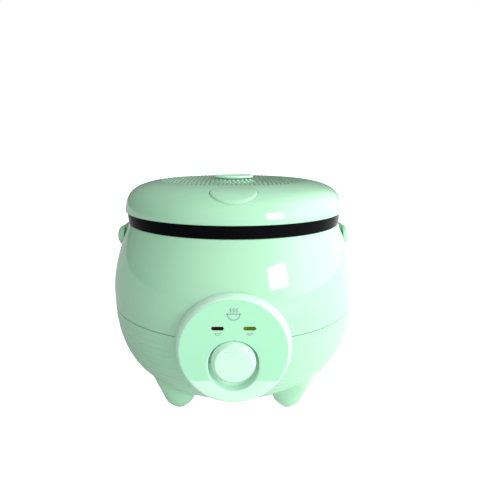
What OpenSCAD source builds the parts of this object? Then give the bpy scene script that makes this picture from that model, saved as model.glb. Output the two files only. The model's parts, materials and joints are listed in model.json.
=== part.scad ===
// Mini rice cooker: a round tub body on ball feet, a hinged domed lid with a push-button latch,
// a swinging carry handle, a lift-out pot, and a press-down cook knob on a round front panel.
// Frame: +Z up, -Y is the front, origin on the worktop under the middle of the body. Millimetres.

/* [Body] */
// Largest radius of the body
body_r = 100.8; // [98:0.1:102]
// Height of the widest point of the body
belly_z = 94; // [92:0.5:96]
// Height where the upper and lower shells meet
seam_z = 80.3; // [79:0.1:82]
// Height of the body's top edge
body_top_z = 146.8; // [146:0.1:147]
// How far the shoulder draws in by the top edge
shoulder_in = 14.3; // [13:0.1:15]
// Wall thickness of the plastic shells
wall = 2.4; // [2:0.1:2.6]
// Radius of each ball foot
foot_r = 13; // [12:0.5:14]
// Distance of each foot from the middle, along X and along Y
foot_at = 44; // [42:1:46]

/* [Lid] */
// Largest radius of the lid
lid_r = 89.5; // [89:0.1:90]
// Height of the underside of the lid's rim
lid_rim_z = 156.4; // [156:0.1:157]
// Height of the middle of the lid's dome
lid_top_z = 182; // [181.5:0.1:183]
// Radius of the ribbed plate in the lid
ribbed_r = 60; // [56:0.5:61]
// Distance between the ribs of the plate
rib_pitch = 3.3; // [3:0.1:4]

/* [Front panel] */
// Height of the panel's centre
panel_z = 75; // [75:0.1:76]
// Radius of the panel's flat face
panel_r = 37.4; // [37:0.1:38]
// How far the panel's face stands in front of the body's axis
panel_front = 104; // [104:0.1:104.2]
// Radius of the knob's face
knob_r = 12.5; // [12:0.1:12.8]
// Height of the knob's centre when it is up
knob_z = 67; // [66.8:0.1:67]
// How far the knob travels down
knob_travel = 4.5; // [4:0.1:4.5]
// Radius of the recess that the knob stands in
recess_r = 17.05; // [17:0.05:17.2]

/* [Pot] */
// Outer radius of the pot's wall
pot_r = 75.2; // [74:0.1:75.4]
// Wall thickness of the pot
pot_wall = 1.4; // [1.2:0.1:1.8]

/* [Handle] */
// Height of the handle's pivots
handle_z = 133; // [133:0.1:133.4]
// Distance from the middle to the inner face of each handle arm
arm_in = 92.3; // [92.2:0.1:92.6]
// Thickness of each handle arm
arm_t = 6.1; // [5.8:0.1:6.2]
// Height of the handle's section
arm_h = 14; // [12:0.5:14]

/* [Hidden] */

MINT = [0.70, 0.95, 0.80];
MINT_DARK = [0.62, 0.90, 0.74];
INK = [0.03, 0.03, 0.04];
STEEL = [0.75, 0.76, 0.78];
SPRING_STEEL = [0.60, 0.61, 0.64];
ALU = [0.82, 0.83, 0.84];
SILICONE = [0.88, 0.90, 0.90];

gap = 0.3;          // clearance between pieces on different bodies
run = 0.05;         // running clearance of a pin in its bore
round_fn = 96;      // smoothness of round bodies

// Body outline. Below the widest point it is a superellipse, above it a power curve.
belly_depth = 84.4;
belly_n = 2.54;
belly_m = 3.48;
shoulder_n = 1.7;
base_z = 11;        // the body's lowest edge, where the base cover closes it
profile_step = 3;   // height between the points of an outline

function body_radius(z) = z < belly_z
    ? body_r * pow(1 - pow((belly_z - z) / belly_depth, belly_n), 1 / belly_m)
    : body_r - shoulder_in * pow((z - belly_z) / (body_top_z - belly_z), shoulder_n);
function body_slope(z) = body_radius(z + 0.5) - body_radius(z - 0.5);
// The point a distance t inside the outline at height z
function body_inset(z, t) = let (s = body_slope(z), n = sqrt(1 + s * s))
    [body_radius(z) - t / n, z + t * s / n];
// Heights from a to b in even steps
function heights(a, b) = let (n = ceil((b - a) / profile_step))
    [for (i = [0:n]) a + (b - a) * i / n];
function reversed(list) = [for (i = [len(list) - 1:-1:0]) list[i]];

// Lid outline: a superellipse about a level below the rim, so that the side is nearly upright
lid_core_z = 133.8;
lid_rise = lid_top_z - lid_core_z;
lid_n = 6;
lid_m = 4.5;
lid_wall = 2.4;
function lid_radius(z) = lid_r * pow(1 - pow((z - lid_core_z) / lid_rise, lid_n), 1 / lid_m);
function lid_height(r) = lid_core_z + lid_rise * pow(1 - pow(r / lid_r, lid_m), 1 / lid_n);
lid_shoulder_r = 72;    // where the outline's points change from even radii to even heights

// Lid insides
liner_web_z = 152;
liner_web_t = 1.6;
band_bottom_z = 147.2;
band_bottom_r = 86.95;
band_top_r = 88;
band_t = 1.6;
pocket_depth = 2.2;
vent_r = 16.6;
vent_rise = 2.4;
tube_r = 8;

// Button and latch
button_y = -74.5;
button_half_x = 16.3;
button_half_y = 11;
button_tilt = 4;
latch_y = -82;
latch_z = 161;
latch_arm = 18;
latch_pin_r = 1.5;

// Lid hinge: the body's ears stand outside the lid's lugs on one pin
hinge_y = 90.5;
hinge_z = 146.5;
hinge_pin_r = 1.5;
hinge_eye_r = 4.5;
ear_in = 27;
ear_out = 32;
lug_in = 15;
lug_out = 25;

// Inside the body
lip_out_r = 86.3;
can_r = 78.2;
can_t = 0.8;
can_floor_z = 44.4;
lip_t = 2.5;
lip_r = 79.8;
heater_z = 51;
heater_top_z = 58;
heater_r = 66;
post_at = 62;
sensor_r = 13;
rod_r = 2.5;
lever_y = -40;
lever_z = 20;
lever_pin_r = 2;
slider_pin_y = -87;
slider_pin_z = 49.5;
collar_z = 22;

// Panel
recess_z = 64.7;
recess_floor = 97;
recess_stretch = 1.0;
lamp_x = 10.5;
lamp_z = 91.5;
lamp_w = 8.4;
lamp_h = 2.6;
panel_hole_r = 33.6;
knob_front = 107;

// Handle
handle_reach = knob_front;
arm_mid = arm_in + arm_t / 2;
handle_corner = 24;
handle_eye_r = 8.7;
pivot_r = 3;

// Inlet
inlet_z = 46;
inlet_face = 100.2;
inlet_w = 27;
inlet_h = 20;

// ---- shared shapes ----

module ring(inner, outer, z0, z1) {
    translate([0, 0, z0]) difference() {
        cylinder(h = z1 - z0, r = outer, $fn = round_fn);
        translate([0, 0, -1]) cylinder(h = z1 - z0 + 2, r = inner, $fn = round_fn);
    }
}

// A cylinder along X, centred at x, y, z
module bar_x(x0, x1, y, z, r, fn = 48) {
    translate([x0, y, z]) rotate([0, 90, 0]) cylinder(h = x1 - x0, r = r, $fn = fn);
}

// A cylinder that points to the front from y = -from to y = -to
module bar_front(x, z, from, to, r, fn = 48) {
    translate([x, -from, z]) rotate([90, 0, 0]) cylinder(h = to - from, r = r, $fn = fn);
}

// A flat outline in Y and Z, given a thickness along X
module plate_x(x0, x1) {
    translate([x0, 0, 0]) rotate([90, 0, 90]) linear_extrude(x1 - x0) children();
}

// The solid inside an outline of the body, from height a to b, t inside the outer surface
module body_solid(a, b, t = 0) {
    pts = [for (z = heights(a, b)) body_inset(z, t)];
    top = pts[len(pts) - 1];
    rotate_extrude($fn = round_fn)
        polygon(concat([[0, pts[0][1]]], pts, [[0, top[1]]]));
}

module body_shell(a, b) {
    outer = [for (z = heights(a, b)) [body_radius(z), z]];
    inner = [for (z = heights(a, b)) body_inset(z, wall)];
    rotate_extrude($fn = round_fn) polygon(concat(outer, reversed(inner)));
}

// The solid under the lid's outline, drop lower and inset further in than its surface
module lid_solid(drop = 0, inset = 0) {
    z1 = lid_height(lid_shoulder_r);
    side = [for (i = [1:8]) let (z = z1 + (lid_rim_z - z1) * i / 8)
        [lid_radius(z) - inset, z - drop * (8 - i) / 8]];
    rotate_extrude($fn = round_fn) polygon(concat(
        [for (r = [0:lid_shoulder_r / 9:lid_shoulder_r]) [r * (1 - inset / lid_r), lid_height(r) - drop]],
        side, [[0, lid_rim_z]]));
}

// A round wire along a list of points, as one closed mesh
function cross_at(path, i) = let (
    a = path[max(i - 1, 0)], b = path[min(i + 1, len(path) - 1)], d = (b - a) / norm(b - a),
    up = abs(d[2]) < 0.9 ? [0, 0, 1] : [1, 0, 0], s = cross(d, up) / norm(cross(d, up)))
    [s, cross(s, d)];
module wire(path, r, sides = 8) {
    n = len(path);
    pts = [for (i = [0:n - 1]) let (f = cross_at(path, i)) for (k = [0:sides - 1])
        path[i] + r * (cos(360 * k / sides) * f[0] + sin(360 * k / sides) * f[1])];
    walls = [for (i = [0:n - 2]) for (k = [0:sides - 1]) let (m = (k + 1) % sides)
        [i * sides + k, i * sides + m, (i + 1) * sides + m, (i + 1) * sides + k]];
    polyhedron(pts, concat(walls, [[for (k = [sides - 1:-1:0]) k]],
        [[for (k = [0:sides - 1]) (n - 1) * sides + k]]));
}
function coil_path(r, z0, z1, turns) = [for (i = [0:turns * 14])
    [r * cos(360 * i / 14), r * sin(360 * i / 14), z0 + (z1 - z0) * i / (turns * 14)]];
module coil(r, wire_r, z0, z1, turns) {
    wire(coil_path(r, z0 + wire_r, z1 - wire_r, turns), wire_r, 6);
}

// Puts its children at each foot
module at_feet() {
    for (x = [-1, 1]) for (y = [-1, 1]) translate([x * foot_at, y * foot_at, 0])
        rotate([0, 0, atan2(y, x)]) children();
}

// Puts its children at each of the three posts of the can
module at_posts(r, turn = 0) {
    for (a = [90, 210, 330]) rotate([0, 0, a + turn]) translate([r, 0, 0]) children();
}

// A rounded slot outline, w wide and h high, for a lamp window
module lamp_outline(w, h) {
    square([w - h, h], center = true);
    for (s = [-1, 1]) translate([s * (w - h) / 2, 0]) circle(r = h / 2, $fn = 32);
}

// Carries a flat outline (X and Z) to the panel, from depth a to depth b in front of the axis
module on_panel(x, z, a, b) {
    translate([x, -a, z]) rotate([90, 0, 0]) linear_extrude(b - a) children();
}

// ---- body shells ----

module handle_pocket_outline(extra = 0) {
    translate([0, handle_z]) circle(r = handle_eye_r + 0.6 + extra, $fn = 64);
    translate([0, handle_z - arm_h / 2 - 0.6 - extra])
        square([26 + extra, arm_h + 4 + 2 * extra]);
}

module hinge_ear_outline() {
    difference() {
        union() {
            translate([hinge_y, hinge_z]) circle(r = hinge_eye_r, $fn = 48);
            polygon([[hinge_y + hinge_eye_r, hinge_z], [91.5, 131], [86, 131], [84, 144.5],
                [hinge_y - 3, hinge_z + 2]]);
        }
        translate([hinge_y, hinge_z]) circle(r = hinge_pin_r, $fn = 32);
    }
}

module upper_shell() {
    boss_in = 87.6;
    boss_r = 6;
    boss_end = 84;
    pocket_floor = arm_in - 0.6;
    latch_slot = [14, 4.3];
    color(MINT) difference() {
        union() {
            body_shell(seam_z + 0.2, body_top_z);
            ring(lip_r, lip_out_r, body_top_z - lip_t, body_top_z);
            intersection() {
                body_solid(seam_z + 5, body_top_z - 0.2, wall / 2);
                for (s = [0, 1]) mirror([s, 0, 0]) plate_x(boss_in, body_r)
                    handle_pocket_outline(2);
            }
            for (s = [0, 1]) mirror([s, 0, 0]) {
                plate_x(ear_in, ear_out) hinge_ear_outline();
                bar_x(boss_end, boss_in + 1, 0, handle_z, boss_r);
            }
        }
        for (s = [0, 1]) mirror([s, 0, 0]) {
            plate_x(pocket_floor, body_r + 1) handle_pocket_outline();
            bar_x(boss_end - 4, pocket_floor + 1, 0, handle_z, pivot_r - 0.6);
        }
        bar_front(0, panel_z, 60, 110, panel_hole_r, round_fn);
        // slot for the latch hook in the front of the top lip
        translate([-latch_slot[0] / 2, 0.1 - lip_out_r, body_top_z - lip_t - 1])
            cube([latch_slot[0], latch_slot[1], lip_t + 2]);
    }
}

foot_lean = 42;     // how far each foot's blend into the body leans outwards, in degrees
foot_run = 17;      // length of that blend
foot_top_r = 8;     // radius of the blend where it ends inside the body
pad_r = 4.8;        // rubber pad let into the bottom of each foot
pad_h = 2;
// A teardrop: a ball with a tangent cone that leans outwards into the belly
module foot_form() {
    side = asin((foot_r - foot_top_r) / foot_run);
    translate([0, 0, foot_r]) rotate([0, foot_lean, 0]) rotate_extrude($fn = 64) polygon(concat(
        [for (i = [0:12]) let (t = -90 + (90 + side) * i / 12) foot_r * [cos(t), sin(t)]],
        [foot_top_r * [cos(side), sin(side)] + [0, foot_run], [0, foot_run + foot_top_r * sin(side)]]));
}

rib_count = 9;
rib_h = 0.4;
rib_zone = [34, 76];
rib_pitch_z = (rib_zone[1] - rib_zone[0]) / rib_count;
// The lower shell's outer line: smooth near the base, then fine raised ribs up to the seam
function ribbed_line() = concat(
    [for (z = heights(base_z, rib_zone[0] - 1)) [body_radius(z), z]],
    [for (i = [0:rib_count - 1]) for (k = [0:2]) let (z = rib_zone[0] + rib_pitch_z * i + k)
        [body_radius(z) + (k == 1 ? rib_h : 0), z]],
    [[body_radius(seam_z - 0.2), seam_z - 0.2]]);

module inlet_outline(w, h, cut) {
    difference() {
        square([w, h], center = true);
        for (s = [-1, 1]) translate([s * w / 2, h / 2]) rotate(45)
            square([cut, cut], center = true);
    }
}

tongue_r = 97.7;
tongue_t = 1.2;
tongue_h = 3.5;
post_r = 5;
frame_w = 38;
frame_h = 28;
frame_back = 80;
module lower_shell() {
    color(MINT) difference() {
        union() {
            // the wall, with a tongue at the top that locates the upper shell
            rotate_extrude($fn = round_fn) polygon(concat(ribbed_line(),
                [[tongue_r, seam_z - 0.2], [tongue_r, seam_z + tongue_h],
                    [tongue_r - tongue_t, seam_z + tongue_h]],
                reversed([for (z = heights(base_z, seam_z - 5)) body_inset(z, wall)])));
            difference() {
                union() {
                    at_feet() foot_form();
                    translate([-frame_w / 2, frame_back, inlet_z - frame_h / 2])
                        cube([frame_w, inlet_face - frame_back - 2.1, frame_h]);
                }
                body_solid(base_z, seam_z - 1, wall * 0.6);
                // keep the feet from filling the hollow above the base opening
                translate([0, 0, base_z - 1]) cylinder(h = 20, r = 40.2, $fn = round_fn);
            }
            intersection() {
                at_posts(post_at) translate([0, 0, base_z])
                    cylinder(h = can_floor_z - base_z - 0.2, r = post_r, $fn = 32);
                body_solid(base_z, seam_z - 1, wall * 0.4);
            }
        }
        bar_front(0, panel_z, 60, 110, panel_hole_r, round_fn);
        at_feet() translate([0, 0, -1]) cylinder(h = pad_h + 1, r = pad_r, $fn = 48);
        at_feet() translate([0, 0, -1]) cylinder(h = 2, r = foot_r, $fn = 48);
        at_posts(post_at) translate([0, 0, 30]) cylinder(h = 20, r = 1.5, $fn = 32);
        translate([-inlet_w / 2 - 2, 70, inlet_z - inlet_h / 2 - 2])
            cube([inlet_w + 4, 40, inlet_h + 4]);
    }
}

module foot_pads() {
    color([0.9, 0.93, 0.9]) at_feet() cylinder(h = pad_h, r = pad_r, $fn = 48);
}

base_screw_at = 34;
module base_cover() {
    color(MINT) difference() {
        union() {
            translate([0, 0, base_z - 1]) cylinder(h = 2, r = 39.8, $fn = round_fn);
            ring(38, 39.2, base_z, base_z + 3);
        }
        for (i = [-3:3]) translate([i * 7 - 1.5, -18, 0]) cube([3, 36, 30]);
        at_posts(base_screw_at, 60) cylinder(h = 30, r = 1.7, $fn = 32);
    }
}

module screw(head_r, r, z_head, length, up = true) {
    translate([0, 0, z_head]) cylinder(h = 1.6, r = head_r, $fn = 32);
    translate([0, 0, up ? z_head + 1.5 : z_head - length]) cylinder(h = length + 0.1, r = r, $fn = 32);
}

module base_screws() {
    color(STEEL) at_posts(base_screw_at, 60) screw(3, 1.6, base_z - 2.6, 7);
}

// ---- inner can, heater and pot ----

can_corner = 10;
module inner_can() {
    color(STEEL) difference() {
        rotate_extrude($fn = round_fn) polygon(concat(
            [[80.4, 143.2], [80.4, 144], [can_r, 144]],
            [for (a = [0:-15:-90]) [can_r - can_corner + can_corner * cos(a),
                can_floor_z + can_t + can_corner + can_corner * sin(a)]],
            [[16.5, can_floor_z + can_t], [16.5, can_floor_z]],
            [for (a = [-90:15:0]) [can_r - can_corner + (can_corner + can_t) * cos(a),
                can_floor_z + can_t + can_corner + (can_corner + can_t) * sin(a)]],
            [[can_r + can_t, 143.2]]));
        at_posts(post_at) translate([0, 0, 40]) cylinder(h = 10, r = 1.8, $fn = 32);
    }
}

module can_screws() {
    color(STEEL) at_posts(post_at) screw(3.2, 1.5, can_floor_z + can_t, 10, false);
}

heater_at = 50;
module heater_plate() {
    color(ALU) difference() {
        union() {
            translate([0, 0, heater_z]) cylinder(h = heater_top_z - heater_z, r = heater_r, $fn = round_fn);
            translate([0, 0, heater_z - 1.5]) cylinder(h = 2, r = 24, $fn = round_fn);
        }
        translate([0, 0, 40]) cylinder(h = 30, r = 16, $fn = round_fn);
        rotate_extrude($fn = round_fn) translate([heater_at, heater_z]) circle(r = 3.6, $fn = 32);
    }
}

module heater_element() {
    color([0.35, 0.34, 0.33]) {
        rotate([0, 0, 105]) rotate_extrude(angle = 330, $fn = round_fn)
            translate([heater_at, heater_z]) circle(r = 3.5, $fn = 32);
    }
}

module heater_spacers() {
    color(STEEL) at_posts(36, 60) translate([0, 0, can_floor_z + can_t])
        cylinder(h = heater_z - can_floor_z - can_t, r = 3, $fn = 32);
}

module keep_warm_band() {
    color([0.80, 0.55, 0.25]) translate([0, 0, 92]) rotate([0, 0, -250])
        rotate_extrude(angle = 320, $fn = round_fn)
        translate([can_r + can_t + 0.1, 0]) square([1.2, 24]);
}

module thermal_fuse() {
    color([0.85, 0.85, 0.8]) translate([30, 10, can_floor_z - 4.6]) rotate([90, 0, 0])
        cylinder(h = 18, r = 2.4, center = true, $fn = 32);
    color(STEEL) translate([26.5, 6, can_floor_z - 7.4]) cube([7, 8, 0.6]);
}

pot_floor_z = heater_top_z + gap;
pot_corner = 20;
pot_flange_z = body_top_z + gap;
pot_flange_r = 82;
module inner_pot() {
    c = [pot_r - pot_corner, pot_floor_z + pot_corner];
    color([0.55, 0.56, 0.58]) rotate_extrude($fn = round_fn) polygon(concat(
        [[0, pot_floor_z]],
        [for (a = [-90:10:0]) c + pot_corner * [cos(a), sin(a)]],
        [[pot_r, pot_flange_z], [pot_flange_r, pot_flange_z], [pot_flange_r, pot_flange_z + 1.2],
            [pot_r - pot_wall, pot_flange_z + 1.2]],
        [for (a = [0:-10:-90]) c + (pot_corner - pot_wall) * [cos(a), sin(a)]],
        [[0, pot_floor_z + pot_wall]]));
}

// ---- thermostat and switch linkage ----

module sensor_cup() {
    color(ALU) difference() {
        translate([0, 0, 44.5]) cylinder(h = heater_top_z - 44.5, r = sensor_r, $fn = round_fn);
        translate([0, 0, 44]) cylinder(h = heater_top_z - 44 - 1.2, r = sensor_r - 1.2, $fn = round_fn);
    }
}

ferrite_z = heater_top_z - 1.2;
module ferrite_disc() {
    color([0.2, 0.2, 0.22]) translate([0, 0, ferrite_z - 3]) cylinder(h = 3, r = 9.5, $fn = 48);
}

guide_z = 34.5;
module sensor_guide() {
    color(STEEL) {
        ring(sensor_r + 0.6, sensor_r + 1.8, guide_z, 48);
        ring(rod_r + 0.1, sensor_r + 1, guide_z, guide_z + 1.5);
        ring(sensor_r + 1, 24, can_floor_z - 1.5, can_floor_z);
    }
}

module sensor_spring() {
    color(SPRING_STEEL) coil(10.6, 0.6, guide_z + 1.7, ferrite_z - gap, 6);
}

magnet_top = 49.5;
module magnet() {
    color([0.25, 0.25, 0.27]) translate([0, 0, magnet_top - 7]) cylinder(h = 7, r = 7.5, $fn = 48);
}

module magnet_rod() {
    color(STEEL) {
        translate([0, 0, 16]) cylinder(h = magnet_top - 7 - 16, r = rod_r, $fn = 48);
        translate([0, 0, collar_z]) cylinder(h = 1.5, r = 5.4, $fn = 48);
    }
}

module magnet_spring() {
    color(SPRING_STEEL) coil(4.2, 0.5, collar_z + 1.7, guide_z - gap, 5);
}

fork_back = 3.2;
module cook_lever() {
    slot_end = slider_pin_y + 4.8;
    color(STEEL) difference() {
        union() {
            plate_x(-1.5, 1.5) difference() {
                union() {
                    polygon([[lever_y, lever_z + 4], [-60, 31], [-76, 41], [-80.8, 52.3],
                        [-88.6, 52.3], [-88.6, 46.7], [-82.4, 46.7], [-79, 38], [-62, 24.5],
                        [lever_y, lever_z - 4]]);
                    polygon([[lever_y, lever_z + 3], [lever_y, lever_z - 3], [-10, lever_z - 1.5],
                        [-10, lever_z + 1.5]]);
                    translate([lever_y, lever_z]) circle(r = 4.2, $fn = 48);
                }
                // the open slot that takes the slider's pin
                translate([slider_pin_y - 3, slider_pin_z - 1.8]) square([slot_end - slider_pin_y + 3, 3.6]);
            }
            bar_x(-6, 6, lever_y, lever_z, 3.6);
            translate([-5.4, -13, lever_z - 1.5]) cube([10.8, 4, 3]);
            for (s = [0, 1]) mirror([s, 0, 0])
                translate([3, -10, lever_z - 1.5]) cube([2.4, 10 + fork_back, 3]);
        }
        bar_x(-10, 10, lever_y, lever_z, lever_pin_r + run);
    }
}

module lever_pin() {
    color(STEEL) bar_x(-12, 12, lever_y, lever_z, lever_pin_r);
}

module lever_bracket() {
    color(STEEL) difference() {
        union() {
            for (s = [0, 1]) mirror([s, 0, 0]) plate_x(8.5, 10)
                polygon([[lever_y - 6, lever_z - 5], [lever_y + 6, lever_z - 5],
                    [lever_y + 8, can_floor_z], [lever_y - 8, can_floor_z]]);
            translate([-10, lever_y - 8, can_floor_z - 1.5]) cube([20, 16, 1.5]);
        }
        bar_x(-20, 20, lever_y, lever_z, lever_pin_r);
        plate_x(-6, 6) polygon([[-70, 36], [-50, 36], [-44, 43], [-44, 50], [-70, 50]]);
    }
}

module micro_switch() {
    color([0.15, 0.15, 0.17]) translate([11, -34, 28]) cube([7, 18, 10]);
    color([0.8, 0.2, 0.15]) translate([14.5, -22, 27.3]) cylinder(h = 1, r = 1.2, $fn = 24);
    color(STEEL) translate([10.2, -46, 30]) cube([0.8, 24, 6]);
}

module knob_slider() {
    h0 = 93.2;
    h1 = 95.2;
    color([0.9, 0.92, 0.9]) difference() {
        union() {
            translate([-8, -h1, 47.2]) cube([16, h1 - h0, 36]);
            for (s = [0, 1]) mirror([s, 0, 0])
                translate([3, -h0 - 0.5, 47.2]) cube([2.4, h0 + slider_pin_y + 3.5, 5.2]);
            bar_x(-4, 4, slider_pin_y, slider_pin_z, 1.5);
        }
        bar_front(0, knob_z, 92, 96, 3, 48);
    }
}

// ---- front panel ----

module recess_outline(extra = 0) {
    for (s = [-1, 1]) translate([0, s * recess_stretch]) circle(r = recess_r + extra, $fn = 96);
    square([2 * (recess_r + extra), 2 * recess_stretch], center = true);
}

module panel_bezel() {
    face = 2.4;
    color(MINT) difference() {
        union() {
            difference() {
                // the drum: a face with a rounded edge and a wall that widens towards the body
                translate([0, 0, panel_z]) rotate([90, 0, 0]) rotate_extrude($fn = round_fn)
                    polygon([[0, 80], [panel_r + 3.8, 80], [panel_r + 3.6, 88], [panel_r + 1.2, 101],
                        [panel_r + 0.8, 102.6], [panel_r, 103.6], [panel_r - 1, panel_front],
                        [0, panel_front]]);
                body_solid(base_z, body_top_z - 5, -rib_h - 0.05);
                bar_front(0, panel_z, 70, panel_front - face, panel_r - 2.5, round_fn);
            }
            bar_front(0, panel_z, panel_front - face, panel_front - 0.1, panel_r - 1.9, round_fn);
            difference() {
                bar_front(0, panel_z, 90, panel_front - 1, 32.7, round_fn);
                bar_front(0, panel_z, 85, panel_front - face, 31, round_fn);
                // room for the slider's tail when the knob is down
                translate([-9.5, -101, 38]) cube([19, 14, 12]);
            }
            on_panel(0, recess_z, recess_floor - 1.5, panel_front - 0.1) recess_outline(1.6);
            for (s = [0, 1]) mirror([s, 0, 0])
                translate([8.4, 1.4 - recess_floor, 50]) cube([1.6, 3.2, 32]);
        }
        on_panel(0, recess_z, recess_floor, panel_front + 1) recess_outline();
        // slot for the knob's stem
        on_panel(0, knob_z - knob_travel / 2, 90, panel_front)
            square([2 * 3.4, 2 * 3.4 + knob_travel], center = true);
        for (s = [-1, 1]) on_panel(s * lamp_x, lamp_z, 90, panel_front + 1) lamp_outline(lamp_w, lamp_h);
    }
}

plate_r = panel_r - 1.3;
plate_t = 0.4;
plate_cut_z = 54.3;
arch_r = 18.3;
module panel_plate() {
    color(MINT_DARK) on_panel(0, 0, panel_front, panel_front + plate_t) difference() {
        translate([0, panel_z]) circle(r = plate_r, $fn = 128);
        translate([-50, 0]) square([100, plate_cut_z]);
        translate([0, recess_z]) circle(r = arch_r, $fn = 96);
        translate([0, recess_z]) polygon([[-1.6, arch_r - 0.6], [1.6, arch_r - 0.6], [0, arch_r + 1.5]]);
        for (s = [-1, 1]) translate([s * lamp_x, lamp_z]) lamp_outline(lamp_w, lamp_h);
    }
}

module cook_lens() {
    color([0.35, 0.02, 0.05]) on_panel(-lamp_x, lamp_z, 101, panel_front + plate_t + 0.15)
        lamp_outline(lamp_w - 0.1, lamp_h - 0.1);
}

module warm_lens() {
    color([0.45, 0.52, 0.05]) on_panel(lamp_x, lamp_z, 101, panel_front + plate_t + 0.15)
        lamp_outline(lamp_w - 0.1, lamp_h - 0.1);
}

module indicator(x) {
    color([0.95, 0.9, 0.85]) bar_front(x, lamp_z, 93, 98, 2.2, 32);
    color([0.95, 0.9, 0.85]) translate([x, -98, lamp_z]) sphere(r = 2.2, $fn = 32);
}
module cook_lamp() { indicator(-lamp_x); }
module warm_lamp() { indicator(lamp_x); }

knob_base_r = 15.2;
grips = [[5.3, 11.5], [11.2, 8.5], [5.9, 5.6]];   // length of each grip line, and its height above the centre
module cook_knob() {
    top = knob_front - 0.5;
    color(MINT) {
        translate([0, 0, knob_z]) rotate([90, 0, 0]) rotate_extrude($fn = round_fn)
            polygon([[0, recess_floor + 0.4], [knob_base_r, recess_floor + 0.4], [knob_base_r, 102.6],
                [knob_base_r - 0.3, 103.4], [knob_r + 0.5, top - 0.2], [knob_r, top], [0, top]]);
        bar_front(0, knob_z, 93.2, 98, 3, 48);
        for (g = grips) on_panel(0, knob_z + g[1], top - 1, knob_front)
            square([g[0], 0.7], center = true);
    }
}

// ---- power inlet and wiring ----

module power_inlet() {
    depth = 15;
    color([0.12, 0.12, 0.13]) translate([0, 0, inlet_z]) rotate([-90, 0, 0]) difference() {
        union() {
            translate([-16.8, -13.5, inlet_face - 2]) cube([33.6, 27, 2]);
            translate([-inlet_w / 2 - 1.6, -inlet_h / 2 - 1.6, inlet_face - depth - 2])
                cube([inlet_w + 3.2, inlet_h + 3.2, depth + 1]);
        }
        translate([0, 0, inlet_face - depth]) linear_extrude(depth + 1)
            mirror([0, 1, 0]) inlet_outline(inlet_w, inlet_h, 7);
        for (p = [[-7, -1], [7, -1], [0, 3]])
            translate([p[0] - 1, p[1] - 2, inlet_face - 30]) cube([2, 4, 20]);
    }
}

module inlet_blades() {
    color(STEEL) translate([0, 0, inlet_z]) rotate([-90, 0, 0])
        for (p = [[-7, -1], [7, -1], [0, 3]])
            translate([p[0] - 1, p[1] - 2, inlet_face - 19.5]) cube([2, 4, 18]);
}

// Each wire's route, from an inlet blade to what it feeds
WIRES = [
    [[-7, 79.9, 46], [-8, 76, 42.5], [-12, 66, 40], [-16, 50, 38], [-18, 40, 37.5],
        [-20, 34, 37]],
    [[7, 79.9, 46], [10, 75, 42], [16, 60, 40], [22, 42, 39.5], [28, 28, 39.8],
        [30, 24, 39.8], [30, 19.5, 39.8]],
    [[14, -15.5, 33], [18, -9, 34], [24, -5, 37], [30, -3.5, 39.6], [30, 0.5, 39.8]]];
module wiring() {
    color([0.85, 0.82, 0.75]) for (w = WIRES) wire(w, 1.1, 8);
}

// ---- lid hinge ----

module hinge_pin() {
    color(STEEL) bar_x(-ear_out - 1, ear_out + 1, hinge_y, hinge_z, hinge_pin_r);
}

module hinge_spring() {
    color(SPRING_STEEL) translate([0, hinge_y, hinge_z]) rotate([0, 90, 0])
        coil(2.6, 0.5, -9, 9, 7);
}

module hinge_cover() {
    inner = 4.7;
    outer = 5.9;
    color(MINT) difference() {
        plate_x(-13, 13) difference() {
            union() {
                intersection() {
                    translate([hinge_y, hinge_z]) circle(r = outer, $fn = 64);
                    translate([hinge_y + 1, hinge_z - 8]) square([8, 11]);
                }
                polygon([[hinge_y + 4.4, hinge_z + 0.2], [hinge_y + outer, hinge_z], [94, 133], [92.6, 133]]);
            }
            translate([hinge_y, hinge_z]) circle(r = inner, $fn = 64);
        }
        body_solid(seam_z + 20, body_top_z - 0.2, -0.05);
    }
}

// ---- lid ----

module lid_lug_outline() {
    difference() {
        union() {
            translate([hinge_y, hinge_z]) circle(r = hinge_eye_r, $fn = 48);
            polygon([[hinge_y + hinge_eye_r, hinge_z], [94, 153], [90.5, 159.5], [87, 162.5],
                [85.2, 162.5], [85.2, 157.9], [88.4, 157.2], [88.4, 151], [hinge_y - hinge_eye_r, hinge_z]]);
        }
        translate([hinge_y, hinge_z]) circle(r = hinge_pin_r + run, $fn = 32);
    }
}

module button_hole(extra) {
    translate([0, button_y, 150]) scale([(button_half_x + extra) / (button_half_y + extra), 1, 1])
        cylinder(h = 50, r = button_half_y + extra, $fn = 96);
}

module lid_outer() {
    color(MINT) difference() {
        union() {
            difference() {
                lid_solid();
                translate([0, 0, -0.01]) lid_solid(lid_wall, lid_wall);
            }
            // a thicker web under the ribbed plate's pocket
            intersection() {
                lid_solid(0.5);
                ring(20, ribbed_r + 3, 172, 190);
                difference() {
                    lid_solid(pocket_depth);
                    lid_solid(pocket_depth + 2);
                }
            }
            intersection() {
                lid_solid(0.5);
                ring(tube_r + 0.2, 22, lid_top_z - pocket_depth - 3, 190);
            }
            for (s = [0, 1]) mirror([s, 0, 0]) plate_x(lug_in, lug_out) lid_lug_outline();
        }
        difference() {
            translate([0, 0, 170]) cylinder(h = 30, r = ribbed_r + 0.15, $fn = round_fn);
            lid_solid(pocket_depth);
            translate([0, 0, 160]) cylinder(h = 40, r = vent_r + 0.6, $fn = round_fn);
        }
        translate([0, 0, 150]) cylinder(h = 50, r = tube_r + 0.2, $fn = 64);
        button_hole(0.35);
    }
}

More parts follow.
